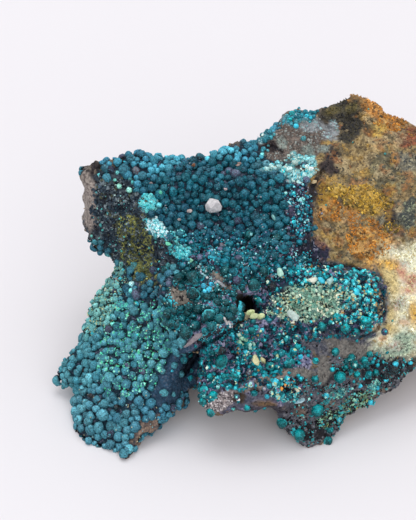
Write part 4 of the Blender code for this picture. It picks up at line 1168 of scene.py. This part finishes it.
def shape_rock(mesh):
    """Softens the CAD facets and adds the broken grain, the grooves and the corrected edges."""
    edges = read(mesh.edges, "vertices", 2, np.int32)
    points = relax(points_of(mesh), edges, SMOOTH_ROUNDS)
    set_points(mesh, points)
    normals = unit(relax(normals_of(mesh), edges, 3))
    relief = rock_zones(points, normals)[:, RELIEF]
    cover = np.clip(crust_zones(points, normals)[:, NUMBER] / FULL_COVER, 0, 1)
    shift = fractal(points, 1.8, 4, 2.0) * relief * 1.3 + lumps(points, 1.1,
                                                                1.0) * relief * 0.7 - SINK * cover
    px, py = photo_place(points)
    seen = smooth_step(-0.4, 0.1, facing(points, normals))
    for (x, y), reach, height in SWELLS.values():
        shift += height * smooth_step(1.0, 0.0, np.hypot(px - x, py - y) / reach) * seen
    points = points + normals * shift[:, None]
    for path, half, depth in GROOVES.values():
        deep = smooth_step(half, half * 0.3, path_field(px, py, path)) * seen
        points += (AHEAD * depth) * deep[:, None]
    for (x, y), reach, (right, down) in TUCKS.values():
        near = smooth_step(1.0, 0.0, np.hypot(px - x, py - y) / reach)
        points += near[:, None] * (right * ALONG - down * OVER) * PIXEL * DISTANCE
    points[:, 2] = np.maximum(points[:, 2], 0.0)
    set_points(mesh, points)


def build_rock(source):
    """The rock: the CAD solid's form, broken up and coloured."""
    mesh = even_copy(source)
    shape_rock(mesh)
    mesh = thin_back(mesh)
    state = rock_zones(points_of(mesh), normals_of(mesh))
    paint(mesh, {"main": state[:, 0:3], "second": state[:, 3:6], "speck": state[:, 6:9]},
          {"grain": state[:, GRAIN]})
    mesh.shade_smooth()
    mesh.materials.clear()
    mesh.materials.append(rock_material())
    mesh.name = "quartz_rock"
    rock = add_object("quartz_rock", mesh)
    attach(rock, BODY)
    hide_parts(NODE)
    return rock


def build_beads(rock, points, normals, tris):
    """All beads, split into pieces of bounded size. Gives their seats."""
    seats = grow_beads(points, normals, tris, hero_beads(rock))
    px, py = photo_place(np.array([seat.place for seat in seats]))
    path, half, _ = GROOVES["cleft"]
    is_open = path_field(px, py, path) > half * 0.8
    seats = [seat for seat, free in zip(seats, is_open)
             if (free or seat.state[LOW] == 0) and seat.place[2] > 0.05]
    seats += grow_buds(seats)
    dusty = bead_material("dusty_beads", 0.25, 0.30, 0.18, 0.10, 0.45, 1.6)
    waxy = bead_material("waxy_beads", 0.0, 0.20, 0.20, 0.03, 0.6, 1.45)
    for size, small, level, cut, most in (("", False, 3, -0.35, 850), ("small_", True, 2, -0.30, 3300)):
        for kind, wanted, material in (("dusty_beads", False, dusty), ("waxy_beads", True, waxy)):
            group = [seat for seat in seats
                     if (seat.radius < FINE_FROM) == small and is_waxy(seat.state) == wanted]
            group.sort(key=lambda seat: seat.place[0])
            for k in range(0, len(group), most):
                bead_piece(f"{size}{kind}_{k // most + 1}", group[k:k + most], level, cut, material)
    return seats


def build_crust(rock):
    """All beads, grains and chips."""
    points, normals, tris = points_of(rock.data), normals_of(rock.data), triangles_of(rock.data)
    seats = build_beads(rock, points, normals, tris)
    rows = grow_grains(points, normals, tris, seats) + hidden_grains(points, normals, tris, BACK_GRAIN_COUNT)
    material = grain_material()
    for k in range(0, len(rows), MOST_GRAINS):
        grain_piece(f"grains_{k // MOST_GRAINS + 1}", rows[k:k + MOST_GRAINS], material)
    lay_chips(rock, chip_material())


def build_stage():
    """A plain pale floor."""
    mesh = bpy.data.meshes.new("floor")
    mesh.from_pydata([(-3, -3, 0), (3, -3, 0), (3, 3, 0), (-3, 3, 0)], [], [(0, 1, 2, 3)])
    mesh.materials.append(floor_material())
    floor = add_object("floor", mesh)


def build_light():
    """Soft daylight from all round, a broad lamp above and a weaker one in front."""
    world = bpy.data.worlds.new("studio")
    bpy.context.scene.world = world
    world.use_nodes = True
    back = world.node_tree.nodes["Background"]
    back.inputs["Color"].default_value = (0.985, 0.975, 1.0, 1.0)
    back.inputs["Strength"].default_value = 0.93
    for where, width, energy in LAMPS:
        lamp = bpy.data.lights.new("softbox", "AREA")
        lamp.size = width
        lamp.energy = energy
        light = add_object("softbox", lamp)
        light.location = where
        light.rotation_euler = (Vector((0, 0, 0.02)) - light.location).to_track_quat("-Z", "Y").to_euler()


def build_camera():
    camera = bpy.data.cameras.new("camera")
    camera.lens = LENS
    camera.sensor_width = SENSOR
    camera.clip_start = 0.01
    camera.clip_end = 10
    eye = add_object("camera", camera)
    eye.location = Vector(EYE) * MM
    eye.rotation_euler = (math.pi / 2 - RISE, 0, 0)
    bpy.context.scene.camera = eye


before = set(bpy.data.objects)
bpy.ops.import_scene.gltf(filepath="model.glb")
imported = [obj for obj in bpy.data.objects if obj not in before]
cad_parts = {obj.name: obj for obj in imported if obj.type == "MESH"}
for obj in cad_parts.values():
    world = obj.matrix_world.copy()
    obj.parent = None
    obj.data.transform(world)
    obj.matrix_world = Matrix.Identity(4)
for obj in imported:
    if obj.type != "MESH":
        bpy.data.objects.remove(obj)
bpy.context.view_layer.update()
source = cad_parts[NODE]
cad_faces = BVHTree.FromPolygons([v.co for v in source.data.vertices],
                                 [p.vertices for p in source.data.polygons])
build_crust(build_rock(source))
build_stage()
build_light()
build_camera()
bpy.context.scene.view_settings.view_transform = "Standard"
